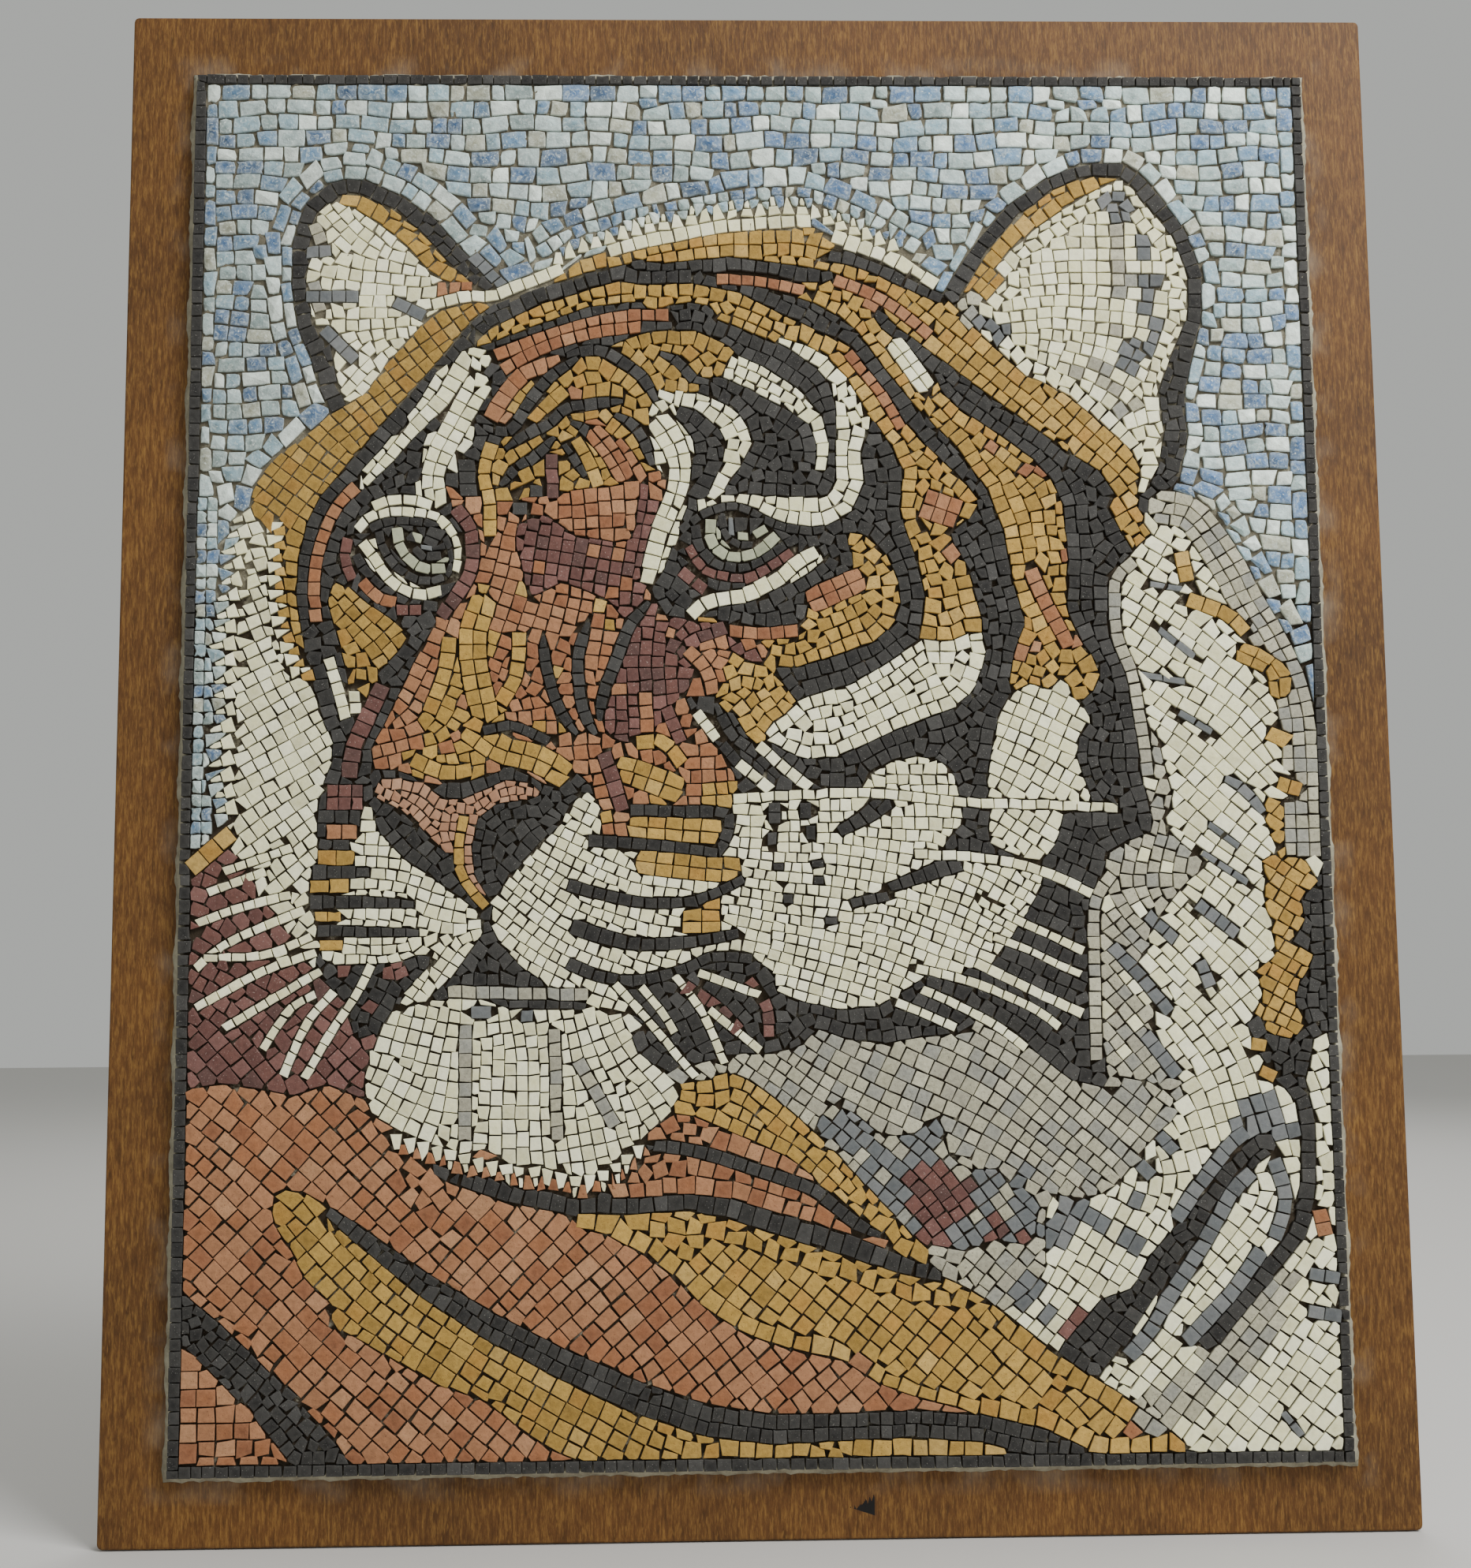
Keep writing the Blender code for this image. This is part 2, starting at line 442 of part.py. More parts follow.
def build_bed():
    """The adhesive, squeezed out a little beyond the outer row of tesserae."""
    bm = block((-BED_WIDTH / 2, BED_FRONT, -BED_HEIGHT / 2),
               (BED_WIDTH / 2, BED_BACK, BED_HEIGHT / 2))
    bevel(bm, front_rim(bm, BED_FRONT), BED_EDGE_ROUNDING, EASING_SEGMENTS)
    add_object("adhesive_bed", bm, "adhesive")


def build_border():
    """The outer row of black tesserae: long rows at the sides, short ones between them."""
    side = MOSAIC_WIDTH / 2
    top = MOSAIC_HEIGHT / 2
    between = FIELD_WIDTH / 2 - JOINT
    rows = {
        "border_left": ((-side, -top), (-FIELD_WIDTH / 2, top)),
        "border_right": ((FIELD_WIDTH / 2, -top), (side, top)),
        "border_top": ((-between, FIELD_HEIGHT / 2), (between, top)),
        "border_bottom": ((-between, -top), (between, -FIELD_HEIGHT / 2)),
    }
    for name, (low, high) in rows.items():
        bm = block((low[0], STONE_FRONT, low[1]), (high[0], STONE_BACK, high[1]))
        add_object(name, bm, "black")


def tangent(before, here, after):
    """The direction of a smooth curve at a point, led by the shorter of its two spans."""
    arriving = here - before
    leaving = after - here
    mixed = (arriving.normalized() * leaving.length
             + leaving.normalized() * arriving.length)
    return mixed.normalized()


def span_middle(start, end, start_way, end_way):
    """The middle of one smooth span, or None where it hardly bows away from the chord."""
    bow = (start_way - end_way) * ((end - start).length / 8)
    if bow.length < CURVE_BOW:
        return None
    return (start + end) / 2 + bow


def smooth_closed(edge):
    """The points of a closed curve through the drawn ones, straight between sharp corners."""
    points = [Vector((drawn[0], drawn[1])) for drawn in edge]
    sharp = [len(drawn) > 2 for drawn in edge]
    count = len(points)
    outline = []
    for at in range(count):
        ahead = (at + 1) % count
        start, end = points[at], points[ahead]
        outline.append(start)
        if sharp[at] and sharp[ahead]:
            continue
        ways = []
        for here in (at, ahead):
            if sharp[here]:
                ways.append((end - start).normalized())
            else:
                ways.append(tangent(points[here - 1], points[here],
                                    points[(here + 1) % count]))
        middle = span_middle(start, end, *ways)
        if middle:
            outline.append(middle)
    return outline


def band_outline(middle):
    """The edge of a stripe: its smooth middle line, set out to both sides by half its width."""
    points = [Vector((x, z)) for x, z, width in middle]
    widths = [width for x, z, width in middle]
    last = len(points) - 1
    line = []
    for at in range(last):
        start, end = points[at], points[at + 1]
        ways = []
        for here in (at, at + 1):
            if 0 < here < last:
                ways.append(tangent(points[here - 1], points[here], points[here + 1]))
            else:
                ways.append((end - start).normalized())
        line.append((start, widths[at]))
        middle = span_middle(start, end, *ways)
        if middle:
            line.append((middle, (widths[at] + widths[at + 1]) / 2))
    line.append((points[last], widths[last]))
    left, right = [], []
    for at, (here, width) in enumerate(line):
        before = line[max(at - 1, 0)][0]
        after = line[min(at + 1, len(line) - 1)][0]
        along = (after - before).normalized()
        across = Vector((-along.y, along.x)) * (width / 2)
        left.append(here + across)
        right.append(here - across)
    return left + right[::-1]


def to_panel(outline):
    """Drawn points as places on the panel, in metres, turning anticlockwise seen from the front."""
    scale_x = FIELD_WIDTH / DRAWING_WIDTH
    scale_z = FIELD_HEIGHT / DRAWING_HEIGHT
    placed = [Vector((point.x * scale_x, point.y * scale_z)) for point in outline]
    area = sum(a.x * b.y - b.x * a.y for a, b in zip(placed, placed[1:] + placed[:1]))
    return placed if area > 0 else placed[::-1]


def grown(outline, by):
    """An anticlockwise outline moved outwards, corner by corner, with long spikes held back."""
    longest_spike = 2.0
    count = len(outline)
    moved = []
    for at in range(count):
        arriving = (outline[at] - outline[at - 1]).normalized()
        leaving = (outline[(at + 1) % count] - outline[at]).normalized()
        out = Vector((arriving.y + leaving.y, -arriving.x - leaving.x))
        openness = max(1 + arriving.dot(leaving), 2 / longest_spike ** 2)
        moved.append(outline[at] + out * (by / openness))
    return moved


def slab(outline, front, back):
    """A bmesh plate of an outline's shape, from y = front to y = back."""
    bm = bmesh.new()
    face = bm.faces.new([bm.verts.new((point.x, front, point.y)) for point in outline])
    pushed = bmesh.ops.extrude_face_region(bm, geom=[face])
    verts = [item for item in pushed["geom"] if isinstance(item, bmesh.types.BMVert)]
    bmesh.ops.translate(bm, vec=(0, back - front, 0), verts=verts)
    bmesh.ops.recalc_face_normals(bm, faces=bm.faces)
    return bm


def reach(outline):
    """The lowest and highest corners of an outline."""
    across = [point.x for point in outline]
    up = [point.y for point in outline]
    return min(across), min(up), max(across), max(up)


def touching(one, other):
    """Whether two reaches overlap."""
    return one[0] < other[2] and other[0] < one[2] and one[1] < other[3] and other[1] < one[3]


def add_boolean(target, cutter, operation):
    """Cut a solid with another, or keep only what they share."""
    modifier = target.modifiers.new(cutter.name, "BOOLEAN")
    modifier.operation = operation
    modifier.object = cutter


def build_picture():
    """Every area of the picture, each cut back by those that are set into it."""
    half_width = FIELD_WIDTH / 2 - JOINT
    half_height = FIELD_HEIGHT / 2 - JOINT
    field_reach = (-half_width, -half_height, half_width, half_height)
    field = add_object("picture_field", block(
        (-half_width, STONE_FRONT - CUTTER_OVERRUN, -half_height),
        (half_width, STONE_BACK + CUTTER_OVERRUN, half_height)))
    placed = []
    for area in PICTURE:
        drawn = smooth_closed(area.edge) if isinstance(area, Patch) \
            else band_outline(area.middle)
        outline = to_panel(drawn)
        wide = grown(outline, JOINT)
        solid = add_object(area.name, slab(outline, STONE_FRONT, STONE_BACK), area.stone)
        cutter = add_object(area.name + "_place", slab(
            wide, STONE_FRONT - CUTTER_OVERRUN, STONE_BACK + CUTTER_OVERRUN))
        placed.append((solid, cutter, reach(outline), reach(wide)))
    for at, (solid, _, own_reach, _) in enumerate(placed):
        inside = (field_reach[0] < own_reach[0] and own_reach[2] < field_reach[2]
                  and field_reach[1] < own_reach[1] and own_reach[3] < field_reach[3])
        if not inside:
            add_boolean(solid, field, "INTERSECT")
        for _, cutter, _, cutter_reach in placed[at + 1:]:
            if touching(own_reach, cutter_reach):
                add_boolean(solid, cutter, "DIFFERENCE")


def main():
    """Clear the scene and build the panel from the back forwards."""
    for old in list(bpy.data.objects):
        bpy.data.objects.remove(old)
    build_board()
    build_bed()
    build_border()
    build_picture()


main()
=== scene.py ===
"""The mosaic panel as it looks: every tessera, the adhesive between them and the wooden board."""

import logging
import math
from collections import deque
from dataclasses import dataclass, field
from enum import Enum

import bmesh
import bpy
import numpy as np
from mathutils import Matrix, Vector


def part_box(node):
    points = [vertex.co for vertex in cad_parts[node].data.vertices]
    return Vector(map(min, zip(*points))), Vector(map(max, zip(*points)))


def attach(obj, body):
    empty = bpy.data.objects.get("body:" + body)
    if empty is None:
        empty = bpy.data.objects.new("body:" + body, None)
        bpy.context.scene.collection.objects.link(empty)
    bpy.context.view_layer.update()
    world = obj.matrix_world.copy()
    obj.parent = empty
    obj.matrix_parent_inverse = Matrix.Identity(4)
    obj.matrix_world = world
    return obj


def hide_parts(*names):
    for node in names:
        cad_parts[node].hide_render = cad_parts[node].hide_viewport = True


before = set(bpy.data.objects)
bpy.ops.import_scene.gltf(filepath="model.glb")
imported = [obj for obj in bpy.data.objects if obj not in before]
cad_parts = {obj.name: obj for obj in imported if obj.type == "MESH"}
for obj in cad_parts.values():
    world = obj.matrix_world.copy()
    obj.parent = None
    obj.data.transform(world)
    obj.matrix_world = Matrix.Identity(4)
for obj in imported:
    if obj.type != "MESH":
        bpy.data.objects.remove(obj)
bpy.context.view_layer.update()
LOG = logging.getLogger("mosaic_panel")

MM = 0.001


class Stone(Enum):
    """The stones of the mosaic, each by the name of its material slot."""

    BLACK = "black"
    SKY = "blue_white"
    CREAM = "cream"
    GREY = "warm_grey"
    SLATE = "slate"
    IRIS = "pale_grey_green"
    OCHRE = "ochre"
    TERRACOTTA = "terracotta"
    WINE = "wine"
    PINK = "pink"


@dataclass(frozen=True)
class Lay:
    """How the tesserae of one area are laid, in millimetres.

    Rows follow the area's edge. With guides, which are (x, z, degrees), they run in the
    directions that the guides give, and only with edge_row does the first row still follow the
    edge. Vary is the share by which lengths vary, and wander how far in radians rows stray.
    Shades are how dark and how light the tesserae are, 0 to 1, in the range of their stone.
    Mix is other stones set among them, each with its share.
    """

    stone: Stone
    length: float = 5.3
    width: float = 5.1
    vary: float = 0.16
    joint: float = 0.55
    edge_row: bool = False
    guides: tuple = ()
    mix: tuple = ()
    wander: float = 0.02
    shades: tuple = (0.25, 0.85)


BLACK_LAY = Lay(Stone.BLACK, 5.4, 5.1, joint=0.4)
CREAM_LAY = Lay(Stone.CREAM, 5.4, 5.0)
OCHRE_LAY = Lay(Stone.OCHRE, 6.2, 5.6, joint=0.6)
EYE_LAY = Lay(Stone.CREAM, 4.0, 3.8, joint=0.4)
IRIS_LAY = Lay(Stone.IRIS, 4.0, 4.0, joint=0.4)
UPRIGHT_LAY = Lay(Stone.BLACK, 5.3, 4.0, joint=0.5, guides=((0, 0, 90),), wander=0.0)
LEVEL_LAY = Lay(Stone.BLACK, 5.3, 4.0, joint=0.5, guides=((0, 0, 0),), wander=0.0)

LAYS: dict[str, Lay] = {
    "border_left": UPRIGHT_LAY,
    "border_right": UPRIGHT_LAY,
    "border_top": LEVEL_LAY,
    "border_bottom": LEVEL_LAY,
    "sky": Lay(Stone.SKY, 8.6, 6.3, vary=0.36, joint=0.9, edge_row=True, guides=((0, 0, 0),),
               wander=0.07),
    "mane": Lay(Stone.CREAM, 6.8, 5.2, guides=(
        (160, 90, -30), (160, 60, -32), (195, 50, -50), (175, 20, -33), (205, 0, -60),
        (190, -15, -42), (180, -50, -36), (155, -90, -48), (155, -125, -52),
        (180, -145, -75), (175, -200, 48), (200, -240, 52), (150, -255, 50), (90, -215, 45),
        (115, -190, 60))),
    "mane_shade": Lay(Stone.GREY, 5.4, 5.0, guides=((150, -20, 70), (150, -90, -50)),
                      mix=((Stone.CREAM, 0.08),)),
    "throat": Lay(Stone.GREY, 5.8, 5.3, guides=(
        (0, -120, -35), (60, -125, -25), (120, -140, -40), (90, -200, 50), (60, -205, -30))),
    "throat_shade": Lay(Stone.SLATE, 5.4, 5.2, guides=((40, -150, -40), (90, -180, -55)),
                        mix=((Stone.GREY, 0.3),)),
    "mane_stripe_upper": BLACK_LAY,
    "mane_stripe_lower": BLACK_LAY,
    "mane_gold": Lay(Stone.OCHRE, 5.6, 5.2, guides=((205, -40, -35), (200, -100, -30))),
    "shoulder": Lay(Stone.WINE, 6.6, 6.0, guides=(
        (-200, -50, -25), (-195, -80, -30), (-190, -120, -50))),
    "body": Lay(Stone.TERRACOTTA, 7.2, 6.4, joint=0.8, guides=(
        (-200, -150, -40), (-150, -150, -45), (-190, -200, -45), (-150, -190, -48),
        (-100, -190, 46), (-50, -215, 42), (0, -240, 40), (50, -250, 40),
        (-130, -250, -42), (-60, -260, -40))),
    "neck_band": Lay(Stone.TERRACOTTA, 6.6, 5.8, joint=0.7, edge_row=True, guides=(
        (-100, -160, -25), (-30, -165, -5), (30, -180, -25))),
    "neck_gold": OCHRE_LAY,
    "body_gold": Lay(Stone.OCHRE, 7.2, 6.4, joint=0.8, edge_row=True, guides=(
        (-50, -182, -25), (0, -200, 50), (40, -215, 52), (90, -240, 48), (130, -260, 45)),
        mix=((Stone.TERRACOTTA, 0.02),)),
    "flank_gold": Lay(Stone.OCHRE, 6.8, 6.0, joint=0.75, shades=(0.1, 0.5), guides=(
        (-170, -190, -45), (-120, -225, -33), (-70, -250, -28), (0, -262, -4), (60, -262, -3))),
    "corner_patch": Lay(Stone.TERRACOTTA, 6.8, 6.4, joint=0.75, guides=((0, 0, 0),)),
    "corner_stripe": Lay(Stone.BLACK, 5.0, 4.9, joint=0.4),
    "long_stripe": Lay(Stone.BLACK, 5.0, 5.0, joint=0.4),
    "neck_stripe": Lay(Stone.BLACK, 5.4, 6.6, joint=0.4),
    "left_ear": Lay(Stone.CREAM, 5.6, 5.0, guides=(
        (-165, 212, -50), (-150, 205, -38), (-150, 190, -3), (-157, 178, -5), (-142, 170, 5),
        (-152, 152, 50), (-160, 145, 50))),
    "left_ear_rim": OCHRE_LAY,
    "left_ear_outline": Lay(Stone.BLACK, 5.6, 5.6, joint=0.4),
    "right_ear": Lay(Stone.CREAM, 5.5, 5.1, edge_row=True, guides=(
        (100, 190, 20), (120, 200, 5), (145, 200, 0), (140, 175, -5), (110, 175, 5), (120, 158, -15),
        (145, 150, -30), (152, 125, -75))),
    "right_ear_rim": OCHRE_LAY,
    "right_ear_outline": Lay(Stone.BLACK, 5.6, 5.4, joint=0.4),
    "left_side": Lay(Stone.OCHRE, 5.8, 5.5, joint=0.65, shades=(0.0, 0.3), guides=(
        (-115, 170, -55), (-150, 135, -50), (-185, 100, -35), (-185, 60, -10), (-178, 30, 15))),
    "crown": Lay(Stone.OCHRE, 5.8, 5.4, joint=0.6, guides=(
        (-90, 182, 25), (-50, 196, 12), (0, 203, 2), (40, 198, -15), (70, 175, -40),
        (100, 145, -40), (135, 115, -42), (148, 92, -60))),
    "ruff": Lay(Stone.CREAM, 5.6, 5.1, shades=(0.0, 0.3), guides=(
        (-200, 80, 20), (-200, 40, 24), (-190, 0, 30), (-190, -40, 36), (-170, -75, 45))),
    "mask": BLACK_LAY,
    "jaw": BLACK_LAY,
    "eye_surround": BLACK_LAY,
    "mouth_corner": Lay(Stone.BLACK, 5.0, 4.8, joint=0.4, mix=((Stone.WINE, 0.2),)),
    "temple_band": Lay(Stone.OCHRE, 5.6, 5.4, joint=0.6, mix=((Stone.TERRACOTTA, 0.06),)),
    "brow_band": Lay(Stone.OCHRE, 5.6, 5.4, joint=0.6),
    "forehead": Lay(Stone.OCHRE, 5.3, 5.1, joint=0.55, mix=((Stone.TERRACOTTA, 0.1),),
                    shades=(0.0, 0.4)),
    "left_brow": Lay(Stone.CREAM, 5.4, 5.0, shades=(0.0, 0.4)),
    "inner_brow": CREAM_LAY,
    "outer_brow": CREAM_LAY,
    "right_brow": CREAM_LAY,
    "brow_curl": CREAM_LAY,
    "left_cheek": Lay(Stone.OCHRE, 5.5, 5.2, shades=(0.0, 0.25), guides=(
        (-150, 45, -45), (-160, 30, 80))),
    "bridge": Lay(Stone.TERRACOTTA, 5.5, 5.2, joint=0.55, guides=(
        (-105, 90, 80), (-60, 95, 95), (-95, 50, 72), (-120, 20, 66), (-60, 30, 82),
        (-130, -5, 10), (-90, 0, 0), (-45, -20, 100), (-20, -25, 5)), mix=(
        (Stone.OCHRE, 0.05),)),
    "bridge_shade": Lay(Stone.WINE, 5.2, 5.0, guides=(
        (-70, 75, 80), (-50, 50, 85), (-40, 20, 95), (-15, 42, 20)), mix=(
        (Stone.TERRACOTTA, 0.1),)),
    "right_cheek": Lay(Stone.OCHRE, 5.4, 5.1),
    "cheek_white": CREAM_LAY,
    "jowl_white": Lay(Stone.CREAM, 5.6, 5.0, guides=((105, 10, -25), (112, -25, -32))),
    "right_pad": Lay(Stone.CREAM, 4.9, 4.3, joint=0.5, guides=(
        (-90, -60, -38), (-60, -75, -22), (-30, -60, -6), (20, -30, 0), (60, -20, 0),
        (20, -60, -8), (60, -50, -12), (60, -80, -22), (95, -60, -30), (10, -85, -15),
        (-60, -30, -25))),
    "left_pad": Lay(Stone.CREAM, 4.9, 4.4, joint=0.5, guides=(
        (-165, -50, 2), (-150, -60, -5), (-130, -60, -18), (-125, -88, 55))),
    "nose": Lay(Stone.PINK, 3.8, 3.7, joint=0.4),
    "chin": Lay(Stone.CREAM, 5.5, 4.9, shades=(0.0, 0.4), guides=(
        (-140, -110, 75), (-140, -135, 60), (-110, -130, 85), (-80, -140, 92),
        (-60, -140, 105), (-42, -125, 130), (-90, -103, 100))),
    "left_eye_white": EYE_LAY,
    "right_eye_white": EYE_LAY,
    "left_iris": IRIS_LAY,
    "right_iris": IRIS_LAY,
}

# Stripes, whiskers and touches of one row or two, drawn by their middle line: a stone, then
# strokes of (width, point, point, ...). A width of two numbers narrows from start to end.
DRAWN: tuple = (
    (Stone.SKY, (
        (6, (-86, 199), (-72, 207), (-60, 211), (-45, 215), (-25, 219), (0, 223), (22, 223), (40, 216),
         (52, 210), (66, 201)), (8, (-215, 100), (-215, -38)),
    )),
    (Stone.GREY, (
        (5, (149, 73), (142, 66), (141, 55), (142, 42), (147, 28), (149, 15), (151, 0), (152, -12)),
        (5, (137, -50), (130, -62), (129, -90), (129, -122)),
        (14, (160, 95), (172, 92), (181, 80), (188, 68), (193, 57), (200, 45), (207, 30), (211, 15),
         (212, 0), (212, -44)),
        (5, (-175, 211), (-172, 203)), (5, (-175, 187), (-172, 175)),
        (5, (-113, -106), (-113, -150)), (5, (-79, -108), (-78, -150)), (5, (-70, -120), (-56, -145)),
        (5, (-120, -93.5), (-90, -94.5), (-66, -95)),
    )),
    (Stone.OCHRE, (
        (6, (168, 77), (170, 65)), (6, (170, 58), (185, 52), (192, 45)),
        (8, (190, 37), (203, 30), (205, 20)), (6, (200, 5), (207, 1)), (6, (203, -15), (212, -18)),
        (5, (189, -116), (195, -117)), (5, (192, -126), (198, -129)),
        (7, (-219, -46), (-203, -32)), (5.5, (-92, 125), (-84, 135), (-75, 143)),
        (11, (-107, 58), (-111, 45), (-110, 30), (-106, 12)), (6, (-93, 46), (-94, 30), (-100, 18)),
        (6, (-120, 44), (-122, 30), (-128, 14)), (11, (-112, 8), (-100, 0), (-86, -4), (-76, -10)),
        (6, (-134, -4), (-122, -9), (-112, -8)), (6, (-47, 2), (-37, 2), (-30, -6)),
        (11, (-54, -8), (-42, -12), (-32, -16)), (6, (-22, 14), (-17, 4), (-12, -4)),
    )),
    (Stone.TERRACOTTA, (
        (5.2, (-34, 173.3), (-48, 173.4), (-65, 170), (-85, 163.8), (-103, 157)),
        (5, (-45, 168.5), (-65, 166), (-85, 159.5), (-100, 151)),
        (4.5, (-15, 188.5), (4, 187), (20, 183.5)), (5, (32, 188), (47, 182), (58, 175), (70, 165)),
        (4.5, (37, 158), (45, 148), (52, 138), (58, 127)), (12, (66, 97), (80, 92)), (6, (75, 79), (79, 74)),
        (6, (108, 70), (113, 58), (118, 48), (122, 40)), (6, (-126, 184), (-112, 184)),
        (7, (-77, 154), (-90, 150), (-98, 142), (-104, 132)), (10, (-66, 128), (-55, 118), (-47, 106)),
        (5, (-157, 104), (-165, 95), (-171, 80), (-173, 65), (-172, 50)), (6, (-167, -32), (-155, -32)),
        (6, (213, -179), (215, -189)),
    )),
    (Stone.WINE, (
        (6, (-118, 95), (-112, 85), (-113, 68), (-124, 52)),
        (7, (-146, 25), (-152, 12), (-157, 0), (-158, -10)), (10, (-167, -18.5), (-153, -18.5)),
        (5, (-135, -150), (-125, -157), (-112, -156)), (5, (-104, -158), (-92, -163), (-80, -166)),
        (6, (-30, -92), (-18, -100), (-8, -110)), (5, (-5, -90), (2, -100), (3, -112)),
    )),
    (Stone.OCHRE, (
        (6, (-170, -42), (-156, -42)), (5.5, (-173, -53), (-158, -53)), (4, (-171, -64.5), (-161, -64.5)),
        (4, (-169, -75.5), (-160, -75.5)), (10, (-46, -44), (-30, -46), (-8, -48)),
        (10, (-50, -30.5), (-30, -32), (-16, -33)),
        (14, (-30, -65), (-15, -65)), (4, (-114, -26), (-116, -38), (-115, -48), (-110, -56), (-105.5, -61)),
        (8, (90, 182), (98, 191)),
    )),
    (Stone.BLACK, (
        ((5, 4), (30, 198), (40, 196), (52, 191), (62, 186), (75, 180)),
        (4.6, (-38, 158), (-30, 154), (-25, 148), (-18, 146)),
        (5, (-75, 157), (-62, 159), (-51, 153), (-44, 147), (-39, 138)),
        (5, (-70, 156), (-80, 149), (-88, 140), (-97, 127), (-108, 128)),
        (5, (-99, 119), (-90, 125), (-82, 129), (-75, 135), (-65, 137), (-52, 138.5)),
        (5, (-101, 104), (-94, 111), (-86, 117), (-79, 124)), (4.6, (-76, 121), (-72, 116), (-67, 107.5)),
        (5, (-73, 130), (-66, 126), (-60, 118), (-54, 109), (-50.5, 103)),
        (5, (-56, 133), (-49, 129), (-44, 122), (-41, 112)), (4.6, (-89, 102), (-84, 102)),
        (4.6, (-96, 95), (-90, 95)), (7, (-114, 115), (-113, 100)),
        (4, (-156, 84), (-150, 88), (-143, 90.5), (-135, 90.5), (-128, 89), (-122, 84), (-119, 77),
         (-118, 68)),
        (3.8, (-148, 86), (-146, 79), (-142, 73), (-137, 69), (-131, 66.5), (-124, 67.5), (-119, 72)),
        (4.2, (-157, 77), (-153, 70), (-147, 64), (-141, 60), (-133, 57), (-125, 56)),
        (8, (-130, 84.5), (-124, 82)), (4, (-136, 85), (-134, 80), (-130, 76), (-124, 76.5)),
        (3.6, (-30, 86), (-22, 92), (-12, 95.5), (-4, 94.5), (4, 90), (12, 87), (22, 85.5)),
        (4.2, (-24, 88), (-22.5, 80), (-17, 73.5), (-8, 71), (1, 73), (9, 78.5), (16, 83)),
        (4.4, (-31, 76), (-24, 68), (-14, 64), (-4, 64), (6, 67.5), (14, 72)),
        (7, (-9, 88), (3, 87.5)), (3.4, (-13.5, 92), (-12.5, 86), (-9, 81.5), (-2, 80), (4, 82)),
        (5, (-66, 50), (-70, 35), (-68, 15), (-63, 5)),
        (5, (-42, 58), (-50, 48), (-55, 35), (-60, 22), (-62, 10)),
        (4.5, (-84, 45), (-82, 30), (-77, 15), (-70, 5)), (4, (-107, 7), (-97, 9), (-88, 6), (-82, 3)),
        (4.6, (-27, 20), (-22, 10), (-15, 2), (-8, -6), (0, -15)),
        (4.6, (-17, 18), (-10, 5), (0, -3), (8, -12)),
        ((6, 4), (-172, -47.5), (-150, -47.5)), ((6, 3), (-173, -59), (-150, -59), (-133, -60)),
        ((5.5, 3), (-170, -70), (-150, -70.5), (-131, -71)),
        ((4.5, 5), (-50, -24), (-30, -25), (-13, -26), (-13, -35), (-17, -41)),
        ((5, 4), (-66, -36), (-50, -37), (-30, -39), (-16, -41)),
        ((5, 3.6), (-74, -53), (-60, -57), (-45, -60), (-30, -60), (-18, -57), (-6, -51)),
        ((6.5, 4), (-72, -69), (-60, -73), (-45, -76), (-25, -75), (-8, -72)),
        ((5, 4), (-74, -83), (-62, -88), (-48, -90), (-30, -86), (-18, -81), (-3, -82)),
        (4.6, (6, -21.5), (6, -30)), (4.6, (18, -21.5), (18, -28)), (4.4, (5, -33), (5, -38.5)),
        (4.4, (20, -30.5), (20, -36.5)), (3.4, (5, -46.5), (9.5, -46.5)), (3.4, (20, -45.5), (25, -45.5)),
        (3.4, (9, -52.5), (9, -53.5)), (3.4, (21, -52), (25, -52)), (3.6, (9, -59), (13, -59)),
        (3.4, (25, -67.5), (30, -67.5)), ((4, 9), (31, -33), (40, -28), (49, -21)),
        ((3.6, 8), (50, -55), (64, -50), (78, -45)), (4, (35, -61), (50, -58)),
        (5, (-47, -152.5), (-35, -153), (-20, -156), (-5, -161), (10, -166), (20, -170), (30, -178),
         (38, -184), (45, -187)),
    )),
    (Stone.SLATE, (
        (5, (-112, 198), (-99, 184)), (4, (155, 64), (168, 62)), (4.4, (158, 46), (172, 35)),
        (4.4, (150, 28), (168, 25)), (4.4, (165, 13), (178, 5)), (4.4, (182, -13), (190, -18), (197, -27)),
        (4.4, (175, -31), (187, -40)), (4.4, (172, -42), (190, -54)), (5, (150, -66), (161, -76)),
        (5, (170, -62), (185, -74)), (5.2, (136, -78), (147, -90), (158, -104)),
        (5, (170, -84), (174, -94)), (5.4, (148, -112), (160, -128)), (5, (152, -150), (158, -157)),
        (5, (144, -161), (149, -166)), (5, (-111, -101.5), (-103, -101.5)), (5, (-92, -103), (-87, -103)),
        (4.4, (196, -254), (203, -263)), (5, (208, -203), (220, -205)), (5, (207, -217), (220, -219)),
        (6, (185, -150), (178, -156), (165, -172), (158, -182)),
        (6, (187, -165), (180, -172), (173, -183), (167, -193), (160, -203), (153, -213), (147, -223),
         (138, -233)),
        (6, (196, -160), (200, -175), (195, -190)), (6, (190, -194), (182, -205), (175, -213), (160, -228)),
        (5, (-178, 199), (-168, 200)), (4.6, (-178, 181), (-157, 181)), (5, (-171, 168), (-158, 155)),
        (5, (-143, 179), (-131, 173)),
        (3.4, (-10, 91.5), (-9.7, 84)), (3.6, (-132, 80), (-127, 79)),
    )),
    (Stone.IRIS, (
        (4.6, (-141, 87), (-139.5, 80), (-135.5, 74.5), (-130, 71.3), (-122, 71.5)),
        (4, (-135.5, 84), (-131, 83)),
        (4.8, (-17.8, 90), (-18, 83), (-14, 77.5), (-7, 75.6), (1, 78), (8, 84)),
